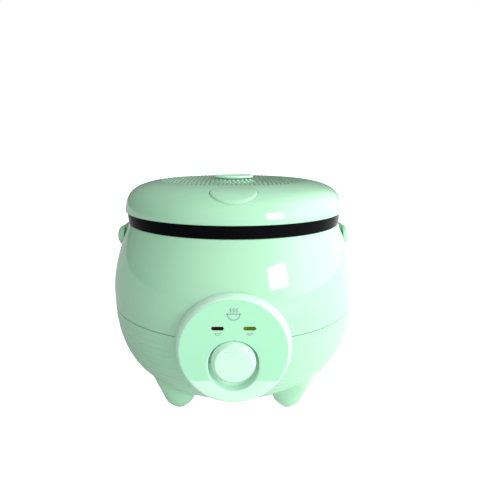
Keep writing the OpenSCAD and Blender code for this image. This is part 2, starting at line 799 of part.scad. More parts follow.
module lid_rib_plate() {
    layer = pocket_depth - 0.1;
    groove = 0.8;
    count = floor(ribbed_r / rib_pitch);
    // the plate itself, as thick as its pocket is deep, up to the floor of the grooves
    color(MINT) intersection() {
        difference() {
            lid_solid(groove);
            lid_solid(layer);
        }
        ring(vent_r + 0.8, ribbed_r, 170, 190);
    }
    // the ribs, flush with the dome
    color(MINT) intersection() {
        difference() {
            lid_solid();
            lid_solid(groove + 0.1);
        }
        ring(vent_r + 0.8, ribbed_r, 170, 190);
        for (i = [-count:count]) translate([i * rib_pitch - rib_pitch * 0.28, -ribbed_r, 170])
            cube([rib_pitch * 0.56, 2 * ribbed_r, 20]);
    }
}

module lid_liner() {
    color(INK) difference() {
        union() {
            rotate_extrude($fn = round_fn) polygon([[band_bottom_r - band_t, band_bottom_z],
                [band_bottom_r, band_bottom_z], [band_top_r, lid_rim_z - 0.05],
                [86.4, lid_rim_z - 0.05], [86.4, lid_rim_z + 1.2],
                [band_top_r - band_t - 1.4, lid_rim_z + 1.2]]);
            ring(tube_r + 0.2, 86, liner_web_z, liner_web_z + liner_web_t);
            // ears for the latch
            for (s = [0, 1]) mirror([s, 0, 0]) plate_x(8.2, 10.2)
                polygon([[-84.4, liner_web_z + 1], [-78, liner_web_z + 1], [-79, latch_z + 2.6],
                    [-83.8, latch_z + 2.6]]);
            translate([0, -64, liner_web_z + liner_web_t]) cylinder(h = 2, r = 2.2, $fn = 32);
        }
        bar_x(-20, 20, latch_y, latch_z, latch_pin_r);
        translate([-7.4, -85.9, 150]) cube([14.8, 6.4, 6]);
        for (s = [0, 1]) mirror([s, 0, 0]) translate([13, 84.5, 140]) cube([14, 10, 16]);
    }
}

module inner_lid() {
    color(ALU) difference() {
        rotate_extrude($fn = round_fn) polygon([[9, 149.6], [40, 150.0], [70, 149.4], [76, 149.4],
            [76, 150.4], [70, 150.4], [40, 151], [9, 150.6]]);
        for (a = [0:45:315]) rotate([0, 0, a]) translate([24, 0, 140]) cylinder(h = 20, r = 1.6, $fn = 24);
    }
}

module lid_seal() {
    color(SILICONE) rotate_extrude($fn = round_fn) polygon([[76.05, 149], [78.5, 148.7], [81, 148.7],
        [81.4, 149.6], [80, 151.9], [76.05, 151.9]]);
}

module steam_tube() {
    color(MINT) difference() {
        union() {
            ring(6.6, tube_r, 149.2, lid_top_z - 1);
            ring(6.6, 8.8, 149.2, 149.5);
            ring(2.7, tube_r, 156, 158);
        }
    }
}

module steam_valve_ball() {
    color(STEEL) translate([0, 0, 161.1]) sphere(r = 4, $fn = 48);
}

module steam_cap() {
    foot = lid_top_z + 0.1;
    top = lid_top_z + vent_rise;
    color(MINT) difference() {
        rotate_extrude($fn = round_fn) polygon([[0, foot], [vent_r - 0.8, foot], [vent_r, foot + 0.8],
            [vent_r - 0.4, top - 0.5], [vent_r - 1.1, top], [vent_r - 2.2, top - 0.2],
            [vent_r - 3, foot + 1.5], [5, foot + 1.1], [0, foot + 1]]);
        for (a = [0:60:300]) rotate([0, 0, a]) translate([4.2, 0, 170]) cylinder(h = 20, r = 1.1, $fn = 24);
    }
    color(MINT) ring(4.6, 6.3, lid_top_z - 9, foot + 0.5);
}

module lid_button() {
    button_floor_z = 167.5;
    color(MINT) {
        intersection() {
            button_hole(0);
            difference() {
                translate([0, button_y + button_half_y, lid_height(-button_y - button_half_y)])
                    rotate([button_tilt, 0, 0])
                    translate([0, -button_y - button_half_y, -lid_height(-button_y - button_half_y)])
                    lid_solid();
                translate([0, 0, -1]) cylinder(h = button_floor_z + 1, r = 200, $fn = 24);
            }
        }
        translate([0, -66, latch_z + 3]) cylinder(h = 10, r = 2, $fn = 32);
    }
}

module lid_latch() {
    color([0.9, 0.9, 0.88]) difference() {
        union() {
            bar_x(-7.8, 7.8, latch_y, latch_z, 2.8);
            plate_x(-5, 5) polygon([[-83.6, 143.8], [-83.6, 162], [-82.2, 162], [-82.2, 143.8],
                [-80.9, 143.6], [-80.9, 142.8], [-82, 141], [-83.6, 141]]);
            translate([-2.6, latch_y, latch_z - 1]) cube([5.2, latch_arm + 2.6, 2.6]);
        }
        bar_x(-9, 9, latch_y, latch_z, latch_pin_r + run);
    }
}

module latch_pin() {
    color(STEEL) bar_x(-10.2, 10.2, latch_y, latch_z, latch_pin_r);
}

module latch_spring() {
    color(SPRING_STEEL) translate([0, -64, 0])
        coil(3.2, 0.4, liner_web_z + liner_web_t + 0.1, latch_z - 1 - gap, 4);
}

// ---- carry handle ----

module handle_section() {
    square([arm_t, arm_h - arm_t], center = true);
    for (s = [-1, 1]) translate([0, s * (arm_h - arm_t) / 2]) circle(r = arm_t / 2, $fn = 32);
}

module carry_handle() {
    back = handle_reach - arm_t / 2;
    color(MINT) difference() {
        translate([0, 0, handle_z]) union() {
            for (s = [0, 1]) mirror([s, 0, 0]) {
                translate([arm_mid, 0, 0]) rotate([-90, 0, 0]) linear_extrude(back - handle_corner)
                    handle_section();
                translate([arm_mid - handle_corner, back - handle_corner, 0])
                    rotate_extrude(angle = 90, $fn = round_fn) translate([handle_corner, 0]) handle_section();
                // the eye: flat inside, domed outside
                translate([arm_in, 0, 0]) rotate([0, 90, 0]) rotate_extrude($fn = 64)
                    polygon([[0, 0], [handle_eye_r, 0], [handle_eye_r, 2.2], [handle_eye_r - 1.2, 4],
                        [handle_eye_r - 3.4, 5.5], [4.6, arm_t], [0, arm_t]]);
            }
            translate([-arm_mid + handle_corner, back, 0]) rotate([0, 90, 0])
                linear_extrude(2 * (arm_mid - handle_corner)) rotate([0, 0, 90]) handle_section();
        }
        for (s = [0, 1]) mirror([s, 0, 0]) {
            bar_x(80, 110, 0, handle_z, pivot_r + run);
            bar_x(arm_in + 3, 110, 0, handle_z, 5);
        }
    }
}

module handle_pivots() {
    color(STEEL) for (s = [0, 1]) mirror([s, 0, 0]) {
        bar_x(arm_in - 0.6, arm_in + 3.4, 0, handle_z, pivot_r);
        bar_x(85, arm_in, 0, handle_z, pivot_r - 0.6);
        bar_x(arm_in + 3.3, arm_in + 5.2, 0, handle_z, 4.7);
    }
}

upper_shell();
lower_shell();
foot_pads();
base_cover();
base_screws();
inner_can();
can_screws();
heater_plate();
heater_element();
heater_spacers();
keep_warm_band();
thermal_fuse();
inner_pot();
sensor_cup();
ferrite_disc();
sensor_guide();
sensor_spring();
magnet();
magnet_rod();
magnet_spring();
cook_lever();
lever_pin();
lever_bracket();
micro_switch();
knob_slider();
cook_knob();
panel_bezel();
panel_plate();
cook_lens();
warm_lens();
cook_lamp();
warm_lamp();
power_inlet();
inlet_blades();
wiring();
hinge_pin();
hinge_spring();
hinge_cover();
lid_outer();
lid_liner();
lid_rib_plate();
inner_lid();
lid_seal();
steam_tube();
steam_cap();
steam_valve_ball();
lid_button();
lid_latch();
latch_pin();
latch_spring();
carry_handle();
handle_pivots();
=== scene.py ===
# %% [markdown]
# # A mini rice cooker, finished for looks
# The cooker is a round mint tub on four ball feet. A domed lid is hinged at the back, a carry handle
# folds down behind, and a round panel at the front holds the cook knob and two lamps. The frame that is
# loaded first holds every part at its true size and says how it moves. This lesson gives the parts their
# finished surfaces: smooth curves worked out from the same formulas as the design, and a material for
# each finish.

# %% Load the frame
import json
from math import radians

import bmesh
import bpy
import numpy as np
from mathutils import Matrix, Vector


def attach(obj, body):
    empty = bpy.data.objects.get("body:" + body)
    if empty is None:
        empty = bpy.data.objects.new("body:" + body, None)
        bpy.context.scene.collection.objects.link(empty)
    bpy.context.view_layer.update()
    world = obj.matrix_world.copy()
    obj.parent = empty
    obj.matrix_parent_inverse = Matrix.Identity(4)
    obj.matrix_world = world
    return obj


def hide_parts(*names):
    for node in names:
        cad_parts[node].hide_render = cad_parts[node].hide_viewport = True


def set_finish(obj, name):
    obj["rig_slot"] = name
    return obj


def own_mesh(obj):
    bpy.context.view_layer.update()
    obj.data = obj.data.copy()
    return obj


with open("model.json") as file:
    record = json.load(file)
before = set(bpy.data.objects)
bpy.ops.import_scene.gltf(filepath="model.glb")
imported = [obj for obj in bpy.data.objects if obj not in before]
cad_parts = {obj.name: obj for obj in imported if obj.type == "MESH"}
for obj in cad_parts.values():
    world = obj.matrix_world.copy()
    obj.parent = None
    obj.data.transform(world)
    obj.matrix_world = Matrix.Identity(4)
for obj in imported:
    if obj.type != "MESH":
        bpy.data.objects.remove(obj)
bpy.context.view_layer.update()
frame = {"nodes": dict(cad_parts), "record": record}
nodes = frame["nodes"]
print("pieces in the frame:", len(nodes))

# %% [markdown]
# ## Where the camera stands
# The camera looks at the front from a little above, close in, so the underside of the dark band curves
# like a smile. It is placed in metres. The lens is moved sideways by a hair, because the cooker
# stands slightly left of the middle of the picture.

# %% The camera
scene = bpy.context.scene
camera = bpy.data.objects.new("camera", bpy.data.cameras.new("camera"))
scene.collection.objects.link(camera)
camera.location = (0, -0.3774, 0.2073)
camera.rotation_euler = (radians(90 - 11.78), 0, 0)
camera.data.lens = 33.55
camera.data.shift_x = 0.0133
camera.data.clip_start = 0.01
scene.camera = camera
print("camera height:", camera.location.z, "m")

# %% [markdown]
# ## Grids become meshes
# Every new piece is a surface worked out as one array of points. Three ways cover nearly all of them. A
# spun outline makes anything round about an axis. A stack of rings makes lids, slots and buttons. A
# section carried along a path makes wires and the handle. Each way ends in the same two helpers, which
# number the faces of a grid and turn the arrays into a sealed mesh.

# %% Faces, meshes and smooth shading
MM = 0.001


def grid_faces(rows, columns, wrap_rows, wrap_columns):
    """Four-cornered faces of a grid whose points are numbered row by row. Face (i, j) joins the points
    (i, j), (i+1, j), (i+1, j+1) and (i, j+1), and a wrapped direction joins its last line to its first."""
    i = np.arange(rows if wrap_rows else rows - 1)[:, None]
    j = np.arange(columns if wrap_columns else columns - 1)[None, :]
    here, there = i * columns, (i + 1) % rows * columns
    after = (j + 1) % columns
    return np.stack([here + j, there + j, there + after, here + after], -1).reshape(-1, 4)


def tidy_mesh(piece, sharp=32):
    """Merges doubled points, closes poles, turns every face outwards, and shades the piece smooth except
    where two faces meet at more than the sharp angle in degrees."""
    work = bmesh.new()
    work.from_mesh(piece.data)
    bmesh.ops.remove_doubles(work, verts=work.verts, dist=2e-6)
    bmesh.ops.recalc_face_normals(work, faces=work.faces)
    work.to_mesh(piece.data)
    work.free()
    piece.data.polygons.foreach_set("use_smooth", np.ones(len(piece.data.polygons), bool))
    piece.data.set_sharp_from_angle(angle=radians(sharp))
    return piece


def make_piece(name, points, faces, caps=()):
    """A piece from an array of points in millimetres and an array of faces. Caps are flat end faces."""
    mesh = bpy.data.meshes.new(name)
    corners = np.concatenate([faces.ravel(), *caps]).astype(np.int32)
    sizes = np.concatenate([np.full(len(faces), faces.shape[1]), [len(c) for c in caps]]).astype(int)
    mesh.vertices.add(points.size // 3)
    mesh.vertices.foreach_set("co", (points.reshape(-1, 3) * MM).ravel())
    mesh.loops.add(len(corners))
    mesh.loops.foreach_set("vertex_index", corners)
    mesh.polygons.add(len(sizes))
    mesh.polygons.foreach_set("loop_start", np.cumsum(sizes) - sizes)
    mesh.update(calc_edges=True)
    piece = bpy.data.objects.new(name, mesh)
    scene.collection.objects.link(piece)
    return tidy_mesh(piece)


# %% Ways to place a flat outline in space
def upright(u, v, w):
    """A plan: u is X, v is Y and w is the height Z."""
    return np.stack([u, v, w + 0 * u], -1)


def facing_front(u, v, w):
    """Seen from the front: u is X, v is the height Z, and w is the distance in front of the axis."""
    return np.stack([u, -w + 0 * u, v], -1)


def facing_side(u, v, w):
    """Seen from the side: u is Y, v is the height Z, and w is X."""
    return np.stack([w + 0 * u, u, v], -1)


# %% Spun outlines, stacked rings and swept sections
def spin(name, outline, turns=256, centre=(0, 0, 0), place=upright, start=0):
    """The outline's points (r, h) spun about an axis: (u, v, w) = (r cos t, r sin t, h) for t from the
    start angle to a full turn past it, placed in space. An outline that keeps off the axis is closed
    into a ring."""
    t = (np.arange(turns) / turns * 2 * np.pi)[:, None] + start
    r, h = outline[:, 0][None, :], outline[:, 1][None, :]
    points = place(r * np.cos(t), r * np.sin(t), h + 0 * t) + np.array(centre, float)
    closed = outline[0, 0] > 1e-6
    return make_piece(name, points, grid_faces(turns, len(outline), True, closed))


def stack(name, rings):
    """A solid through an array of rings (k, n, 3), closed by a flat face at each end."""
    count, size = rings.shape[:2]
    first, last = np.arange(size), (count - 1) * size + np.arange(size)
    return make_piece(name, rings, grid_faces(count, size, False, True), (first[::-1], last))


def sweep(name, path, section, up):
    """A section carried along a path: p + a n + b m, where m is the up direction made square to the
    path's own direction d, n = d x m, and (a, b) runs round the section. The ends are flat."""
    d = np.gradient(path, axis=0)
    d /= np.linalg.norm(d, axis=1)[:, None]
    n = np.cross(d, np.array(up, float))
    n /= np.linalg.norm(n, axis=1)[:, None]
    m = np.cross(n, d)
    rings = path[:, None] + section[None, :, :1] * n[:, None] + section[None, :, 1:] * m[:, None]
    return stack(name, rings)


# %% Outlines
def soften(corners, radii, steps=6):
    """The closed or axis-to-axis outline through some corners, each rounded by the curve
    p(t) = (1-t)^2 a + 2t(1-t) c + t^2 b. Here c is the corner, and a and b stand the given distance from
    it along its two sides, but never past half a side. A distance of 0 keeps the corner."""
    c = np.array(corners, float)
    radii = np.broadcast_to(np.array(radii, float), len(c))

    def toward(other):
        away = other - c
        length = np.linalg.norm(away, axis=1)
        return c + away * (np.minimum(radii, length / 2) / np.maximum(length, 1e-9))[:, None]

    a, b = toward(np.roll(c, 1, 0)), toward(np.roll(c, -1, 0))
    t = np.linspace(0, 1, steps)[None, :, None]
    curve = (1 - t) ** 2 * a[:, None] + 2 * t * (1 - t) * c[:, None] + t**2 * b[:, None]
    keep = (np.arange(steps)[None, :] == 0) | (radii > 0)[:, None]
    return curve[keep]


def oval(rx, ry, count=96):
    """Points of an ellipse, (rx cos t, ry sin t)."""
    t = (np.arange(count) + 0.5) / count * 2 * np.pi
    return np.stack([rx * np.cos(t), ry * np.sin(t)], -1)


def slot(radius, run, count=64, tall=False):
    """A rounded slot: a circle whose two halves are moved apart by run each way."""
    points = oval(radius, radius, count)
    axis = 1 if tall else 0
    points[:, axis] += run * np.sign(points[:, axis])
    return points


def prism(name, outline, low, high, place=upright):
    """An outline (u, v) pushed straight from low to high along the third direction."""
    u, v = np.array(outline, float).T
    return stack(name, np.stack([place(u, v, low), place(u, v, high)]))


def cut(target, tool, how="DIFFERENCE"):
    """Cuts the tool out of the target, or joins it on with UNION, removes the tool and shades again."""
    boolean = target.modifiers.new("cut", "BOOLEAN")
    boolean.operation, boolean.object, boolean.solver = how, tool, "EXACT"
    whole = target.evaluated_get(bpy.context.evaluated_depsgraph_get())
    target.data = bpy.data.meshes.new_from_object(whole)
    target.modifiers.clear()
    bpy.data.objects.remove(tool)
    return tidy_mesh(target)


# %% [markdown]
# ## Putting a piece in its place
# A finished piece says three things: which body it moves with, which designed parts it stands for, and
# which finish it wears. One short call holds all three.

# %% Finish a piece
finishes = {s["node"]: s["material_slot"] for s in frame["record"]["subparts"]}
body_of = {n: b for b, members in frame["record"]["behaviour"]["bodies"].items() for n in members}
dressed = []


def open_edges(piece):
    """How many edges don't have exactly two faces. A sealed piece has none."""
    loops = np.empty(len(piece.data.loops), np.int32)
    piece.data.loops.foreach_get("edge_index", loops)
    return int(np.sum(np.bincount(loops, minlength=len(piece.data.edges)) != 2))


def dress(piece, *stands_for, finish=None, body=None):
    """The piece rides on the body of the parts that it stands for, hides them, and takes their finish."""
    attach(piece, body or body_of[stands_for[0]])
    if stands_for:
        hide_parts(*stands_for)
    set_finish(piece, finish or finishes[stands_for[0]])
    dressed.append(piece)
    size = [round(1000 * v, 1) for v in piece.dimensions]
    piece.data.calc_loop_triangles()
    triangles = len(piece.data.loop_triangles)
    print(f"{piece.name}: {triangles} triangles, {size} mm, open edges {open_edges(piece)}")
    return piece

# %% [markdown]
# ## The tub
# The tub is two shells that meet at a fine seam below the belly. Below its widest point the outline is a
# superellipse, and above it the shoulder draws in by a power curve. Nine fine raised ribs run round the
# lower shell. Each shell is one closed outline, spun round, so its wall has a true thickness, and the
# edges at the seam are softened, because that tiny round is what catches the light.

# %% The body's outline
BELLY_R, BELLY_Z = 100.8, 94.0
BELLY_DEPTH, BELLY_N, BELLY_M = 84.4, 2.54, 3.48
SHOULDER_IN, SHOULDER_N = 14.3, 1.7
BODY_TOP, BASE_Z, SEAM_Z, WALL = 146.8, 11.0, 80.3, 2.4
RIB_COUNT, RIB_H, RIB_LOW, RIB_HIGH, RIB_W = 9, 0.25, 34.0, 76.0, 2.6


def body_radius(z):
    """Below the belly r = R (1 - ((Z - z) / D)^n)^(1/m); above it r = R - S ((z - Z) / (top - Z))^s."""
    below = np.clip((BELLY_Z - z) / BELLY_DEPTH, 0, 1)
    above = np.clip((z - BELLY_Z) / (BODY_TOP - BELLY_Z), 0, None)
    low = BELLY_R * (1 - below**BELLY_N) ** (1 / BELLY_M)
    return np.where(z < BELLY_Z, low, BELLY_R - SHOULDER_IN * above**SHOULDER_N)


def body_line(low, high, depth=0.0, step=1.0):
    """The outline between two heights, moved straight inwards by a depth along its own normal."""
    z = np.linspace(low, high, int(np.ceil((high - low) / step)) + 1)
    slope = body_radius(z + 0.25) - body_radius(z - 0.25)
    slope = slope / 0.5
    n = np.sqrt(1 + slope**2)
    return np.stack([body_radius(z) - depth / n, z + depth * slope / n], -1)


def ribs(z):
    """Height of the raised ribs at z: a smooth bump (1 + cos) / 2 as wide as a rib, once every pitch."""
    pitch = (RIB_HIGH - RIB_LOW) / RIB_COUNT
    along = (z - RIB_LOW) / pitch
    offset = (along - np.floor(along)) * pitch - RIB_W / 2
    bump = 0.5 + 0.5 * np.cos(np.clip(2 * np.pi * offset / RIB_W, -np.pi, np.pi))
    return RIB_H * bump * ((along > 0) & (along < RIB_COUNT))


# %% Upper shell
LIP_R, LIP_OUT, LIP_T = 79.8, 86.3, 2.5
seam_round = 0.35
outer = body_line(SEAM_Z + 0.2 + seam_round, BODY_TOP - 0.6)
inner = body_line(SEAM_Z + 0.2, BODY_TOP - LIP_T, WALL)[::-1]
rim = soften([outer[-1], [body_radius(BODY_TOP), BODY_TOP], [LIP_R, BODY_TOP],
              [LIP_R, BODY_TOP - LIP_T], inner[0]], [0, 0.6, 0.6, 0.3, 0])[1:-1]
foot_of_shell = [[body_radius(SEAM_Z + 0.2) - seam_round, SEAM_Z + 0.2]]
upper = spin("upper_body", np.concatenate([outer, rim, inner, foot_of_shell]))

HANDLE_Z, ARM_IN, ARM_T, ARM_H, EYE_R = 133.0, 92.3, 6.1, 14.0, 8.7
POCKET_RUN, POCKET_FLOOR = 26, ARM_IN - 0.6
PANEL_Z, HOLE_R = 75.0, 33.6


def body_core(name, low, high, depth):
    """The solid inside the body's outline, a depth under its surface."""
    line = body_line(low, high, depth, 1.5)
    return spin(name, np.concatenate([[[0, line[0, 1]]], line, [[0, line[-1, 1]]]]))


def pocket_outline(extra):
    """The handle's pocket seen from the side: a circle round the eye, with a straight run behind it. The
    circle is left where it meets the run's lower edge, at an angle of asin(low / radius)."""
    radius = EYE_R + 0.6 + extra
    low, high = -ARM_H / 2 - 0.6 - extra, ARM_H / 2 + 3.4 + extra
    t = np.linspace(np.pi / 2, 2 * np.pi + np.arcsin(low / radius), 48)
    round_end = radius * np.stack([np.cos(t), np.sin(t)], -1)
    straight = [[POCKET_RUN + extra, low], [POCKET_RUN + extra, high], [0, high]]
    return np.concatenate([round_end, straight]) + [0, HANDLE_Z]


for side in (-1, 1):
    boss = prism("boss", pocket_outline(2), side * 87.6, side * 104, facing_side)
    cut(boss, body_core("core", SEAM_Z + 5, BODY_TOP - 0.2, WALL / 2), "INTERSECT")
    cut(upper, boss, "UNION")
    cut(upper, prism("pocket", pocket_outline(0), side * POCKET_FLOOR, side * 104, facing_side))
panel_hole = oval(HOLE_R, HOLE_R, 128) + [0, PANEL_Z]
cut(upper, prism("hole", panel_hole, 60, 110, facing_front))
ear = soften([[95, 146.5], [91.5, 131], [86, 131], [84, 144.5], [86.5, 149.5], [91.5, 151.6]],
             [4, 1, 1, 2, 3, 4])
HINGE_AT, HINGE_PIN_R = np.array([90.5, 146.5]), 1.5
EAR_IN, EAR_OUT, LUG_IN, LUG_OUT = 27, 32, 15, 25     # the body's ears stand outside the lid's lugs
for side in (-1, 1):
    cut(upper, prism("ear", ear, side * EAR_IN, side * EAR_OUT, facing_side), "UNION")
    pin_hole = oval(HINGE_PIN_R + 0.02, HINGE_PIN_R + 0.02, 48) + HINGE_AT
    cut(upper, prism("pin_hole", pin_hole, side * (EAR_IN - 1), side * (EAR_OUT + 1.5), facing_side))
slot_front = 0.1 - LIP_OUT
slot_back = slot_front + 4.3
latch_slot = [[-7, slot_front], [7, slot_front], [7, slot_back], [-7, slot_back]]
cut(upper, prism("slot", latch_slot, BODY_TOP - LIP_T - 1, BODY_TOP + 1, upright))
dress(upper, "upper_shell")

# %% [markdown]
# ## Ball feet that grow out of the belly
# Each foot is a ball that runs into the belly without an edge. A crisp cut between ball and belly would
# look glued on. Instead, distance formulas for the belly and for a leaning teardrop are joined by a smooth
# minimum, and the foot is the height over a small round patch where that joined distance is zero. The
# patch dips a hair under the belly at its edge, so no seam shows.

# %% Distances and the smooth minimum
FOOT_AT, FOOT_R, FOOT_TOP_R, FOOT_RUN, FOOT_LEAN = 44.0, 13.0, 8.0, 17.0, radians(42)
FOOT_MELT = 6.0     # how widely ball and belly melt together
FLOOR_Z = 1.0       # the flat under the ball, just above the pad's face


def belly_distance(r, z):
    """g / |grad g| for g = ((Z - z) / D)^n + (r / R)^m - 1, which is zero on the belly's outline."""
    below, out = np.clip((BELLY_Z - z) / BELLY_DEPTH, 0, None), r / BELLY_R
    g = below**BELLY_N + out**BELLY_M - 1
    steep = np.hypot(BELLY_N / BELLY_DEPTH * below ** (BELLY_N - 1), BELLY_M / BELLY_R * out ** (BELLY_M - 1))
    return g / steep


def teardrop_distance(p, a, b, ra, rb):
    """Distance to the hull of two balls, at a with radius ra and at b with radius rb. Along the line
    from a to b the nearest ball has its middle where the tangent cone's foot falls."""
    line = b - a
    length = np.linalg.norm(line)
    along = (p - a) @ line / length
    off = np.sqrt(np.maximum(np.sum((p - a) ** 2, -1) - along**2, 0))
    lean = (ra - rb) / np.sqrt(length**2 - (ra - rb) ** 2)
    t = np.clip((along - off * lean) / length, 0, 1)
    return np.hypot(off, along - t * length) - (ra + t * (rb - ra))


def melt(a, b, width):
    """The smooth minimum: min(a, b) - h^2 width / 4 with h = max(width - |a - b|, 0) / width."""
    h = np.maximum(width - abs(a - b), 0) / width
    return np.minimum(a, b) - h * h * width / 4


# %% One foot, then four
def foot_points(rows=40, columns=80):
    """Points of a foot that leans along +X, as heights over a round patch square to the belly."""
    root = np.hypot(FOOT_AT, FOOT_AT)
    a = np.array([root, 0, FOOT_R])
    b = a + FOOT_RUN * np.array([np.sin(FOOT_LEAN), 0, np.cos(FOOT_LEAN)])
    away = np.array([0.36, 0, -0.933])
    side_x, side_y = np.array([0.933, 0, 0.36]), np.array([0, 1.0, 0])
    t = (np.arange(columns) / columns * 2 * np.pi)[None, :]
    share = np.linspace(0, 1, rows)[:, None] ** 0.8
    reach = share * (22 + 4 * np.cos(t))
    base = a + side_x * (reach * np.cos(t))[..., None] + side_y * (reach * np.sin(t))[..., None]
    height = np.linspace(15, -22, 371)
    p = base[None] + away * height[:, None, None, None]
    belly = belly_distance(np.hypot(p[..., 0], p[..., 1]), p[..., 2])
    both = melt(belly, teardrop_distance(p, a, b, FOOT_R, FOOT_TOP_R), FOOT_MELT)
    both = -melt(-both, -(FLOOR_Z - p[..., 2]), 0.5)
    hit = np.argmax(both < 0, axis=0)[None]
    before, after = np.take_along_axis(both, hit - 1, 0)[0], np.take_along_axis(both, hit, 0)[0]
    step = height[1] - height[0]
    found = height[hit[0]] - step * after / (after - before)
    dip = np.clip((share - 0.8) / 0.2, 0, 1) ** 2 * 0.08
    skin = base + away * (found - dip)[..., None]
    lining = skin[-1:] - away * np.array([0.5, 1.4])[:, None, None]
    middle = np.broadcast_to(lining[-1].mean(0), (1, columns, 3))
    return np.concatenate([skin, lining, middle])


def turned(points, angle):
    """The points turned about Z by an angle in radians."""
    c, s = np.cos(angle), np.sin(angle)
    return points @ np.array([[c, s, 0], [-s, c, 0], [0, 0, 1]])


foot = foot_points()
rings_of_four = np.stack([turned(foot, radians(a)) for a in (45, 135, 225, 315)])
print("a foot's lowest point:", round(foot[..., 2].min(), 2), "mm")

# %% [markdown]
# ## Lower shell
# The lower shell is spun like the upper one, with the ribs added to its outline. The four feet are
# separate closed skins inside the same piece, because they already melt into the belly. At the back
# a framed opening holds the mains inlet.

# %% The mains inlet's outlines
INLET_Z = 46.0
FRAME_HALF_W, FRAME_HALF_H, HOLE_HALF_W, HOLE_HALF_H = 19, 14, 15.5, 12


def rectangle(half_width, half_height, middle):
    """Corners of an upright rectangle about a height."""
    low, high = middle - half_height, middle + half_height
    return [[-half_width, low], [half_width, low], [half_width, high], [-half_width, high]]


inlet_frame = soften(rectangle(FRAME_HALF_W, FRAME_HALF_H, INLET_Z), 2.0)
inlet_hole = rectangle(HOLE_HALF_W, HOLE_HALF_H, INLET_Z)
print("inlet hole:", 2 * HOLE_HALF_W, "by", 2 * HOLE_HALF_H, "mm, its middle", INLET_Z, "mm up")

# %% Lower shell
z = np.linspace(BASE_Z, SEAM_Z - 0.2 - seam_round, 210)
outer = np.stack([body_radius(z) + ribs(z), z], -1)
inner = body_line(BASE_Z, SEAM_Z - 5, WALL)[::-1]
tongue = [[body_radius(SEAM_Z) - seam_round, SEAM_Z - 0.2], [97.7, SEAM_Z - 0.2],
          [97.7, SEAM_Z + 3.5], [96.5, SEAM_Z + 3.5]]
lower = spin("lower_body", np.concatenate([outer, tongue, inner]))
cut(lower, prism("hole", panel_hole, 60, 110, facing_front))
frame_block = prism("frame", inlet_frame, -98.1, -80, facing_front)
cut(frame_block, body_core("core", BASE_Z, SEAM_Z - 1, WALL * 0.6))
cut(lower, frame_block, "UNION")
cut(lower, prism("inlet", inlet_hole, -110, -70, facing_front))
count = foot.shape[0] * foot.shape[1]
faces = grid_faces(foot.shape[0], foot.shape[1], False, True)
feet = make_piece("feet", rings_of_four, np.concatenate([faces + k * count for k in range(4)]))
with bpy.context.temp_override(active_object=lower, selected_editable_objects=[lower, feet]):
    bpy.ops.object.join()
dress(lower, "lower_shell")

# %% [markdown]
# ## The lid
# The dome is a superellipse: nearly flat on top, then a tight round shoulder, then an almost upright side.
# The cover is one outline again. It runs over the dome, round the rim, back along the inside, and steps
# down into the shallow pocket that holds the ribbed plate.

# %% The lid's outline
LID_R, CORE_Z, LID_TOP, RIM_Z, LID_N, LID_M, LID_WALL = 89.5, 133.8, 182.0, 156.4, 6, 4.5, 2.4
RIBBED_R, VENT_R, POCKET = 60.0, 16.6, 2.2


def dome(r):
    """Height of the lid: z = c + (top - c) (1 - (r / R)^m)^(1/n)."""
    share = np.clip(1 - (r / LID_R) ** LID_M, 0, 1)
    return CORE_Z + (LID_TOP - CORE_Z) * share ** (1 / LID_N)


def lid_side(z):
    """Radius of the lid at a height: r = R (1 - ((z - c) / (top - c))^n)^(1/m)."""
    return LID_R * (1 - ((z - CORE_Z) / (LID_TOP - CORE_Z)) ** LID_N) ** (1 / LID_M)


def over_dome(r, drop=0.0):
    """Outline points on the dome at some radii, lowered by a drop."""
    return np.stack([r, dome(r) - drop], -1)


# %% Lid cover
shoulder = 76.0
heights = np.linspace(dome(shoulder), RIM_Z + 0.5, 44)
top_line = over_dome(np.linspace(RIBBED_R + 0.55, shoulder, 16))
side_line = np.stack([lid_side(heights), heights], -1)[1:]
rise = np.linspace(0, 1, 30)
inner_z = RIM_Z + (dome(63.0) - LID_WALL - RIM_Z) * rise
inside = np.stack([lid_side(inner_z + LID_WALL * rise) - LID_WALL, inner_z], -1)
hub = [[63, dome(63.0) - POCKET - 2], [8.2, dome(8.2) - POCKET - 2], [8.2, dome(8.2) - 0.5],
       [VENT_R + 0.6, dome(VENT_R) - 0.5], [VENT_R + 0.6, dome(VENT_R) - POCKET]]
pocket_floor = over_dome(np.linspace(VENT_R + 0.7, RIBBED_R + 0.15, 14), POCKET)
pocket_edge = [[RIBBED_R + 0.15, dome(RIBBED_R) - 0.4], [RIBBED_R + 0.3, dome(RIBBED_R) - 0.1]]
rim_edge = [[lid_side(RIM_Z) - 0.5, RIM_Z], [lid_side(RIM_Z) - LID_WALL, RIM_Z]]
lid = spin("lid_cover", np.concatenate([top_line, side_line, rim_edge, inside[1:], hub, pocket_floor,
                                        pocket_edge]))
BUTTON_Y, BUTTON_X_HALF, BUTTON_Y_HALF = -74.5, 16.3, 11.0
hole = oval(BUTTON_X_HALF + 0.35, BUTTON_Y_HALF + 0.35, 128) + [0, BUTTON_Y]
cut(lid, prism("hole", hole, 150, 200, upright))
lug = soften([[95, 146.5], [94, 153], [90.5, 159.5], [87, 162.5], [85.2, 162.5], [85.2, 157.9],
              [88.4, 157.2], [88.4, 151], [86, 146.5], [87.5, 143.2], [90.5, 142.0], [93.5, 143.2]],
             [2, 3, 3, 0, 0, 0, 0, 2, 2, 2, 2, 2])
for side in (-1, 1):
    cut(lid, prism("lug", lug, side * LUG_IN, side * LUG_OUT, facing_side), "UNION")
    pin_hole = oval(HINGE_PIN_R + 0.15, HINGE_PIN_R + 0.15, 48) + HINGE_AT
    cut(lid, prism("pin_hole", pin_hole, side * (LUG_IN - 1), side * (LUG_OUT + 1), facing_side))
dress(lid, "lid_outer")

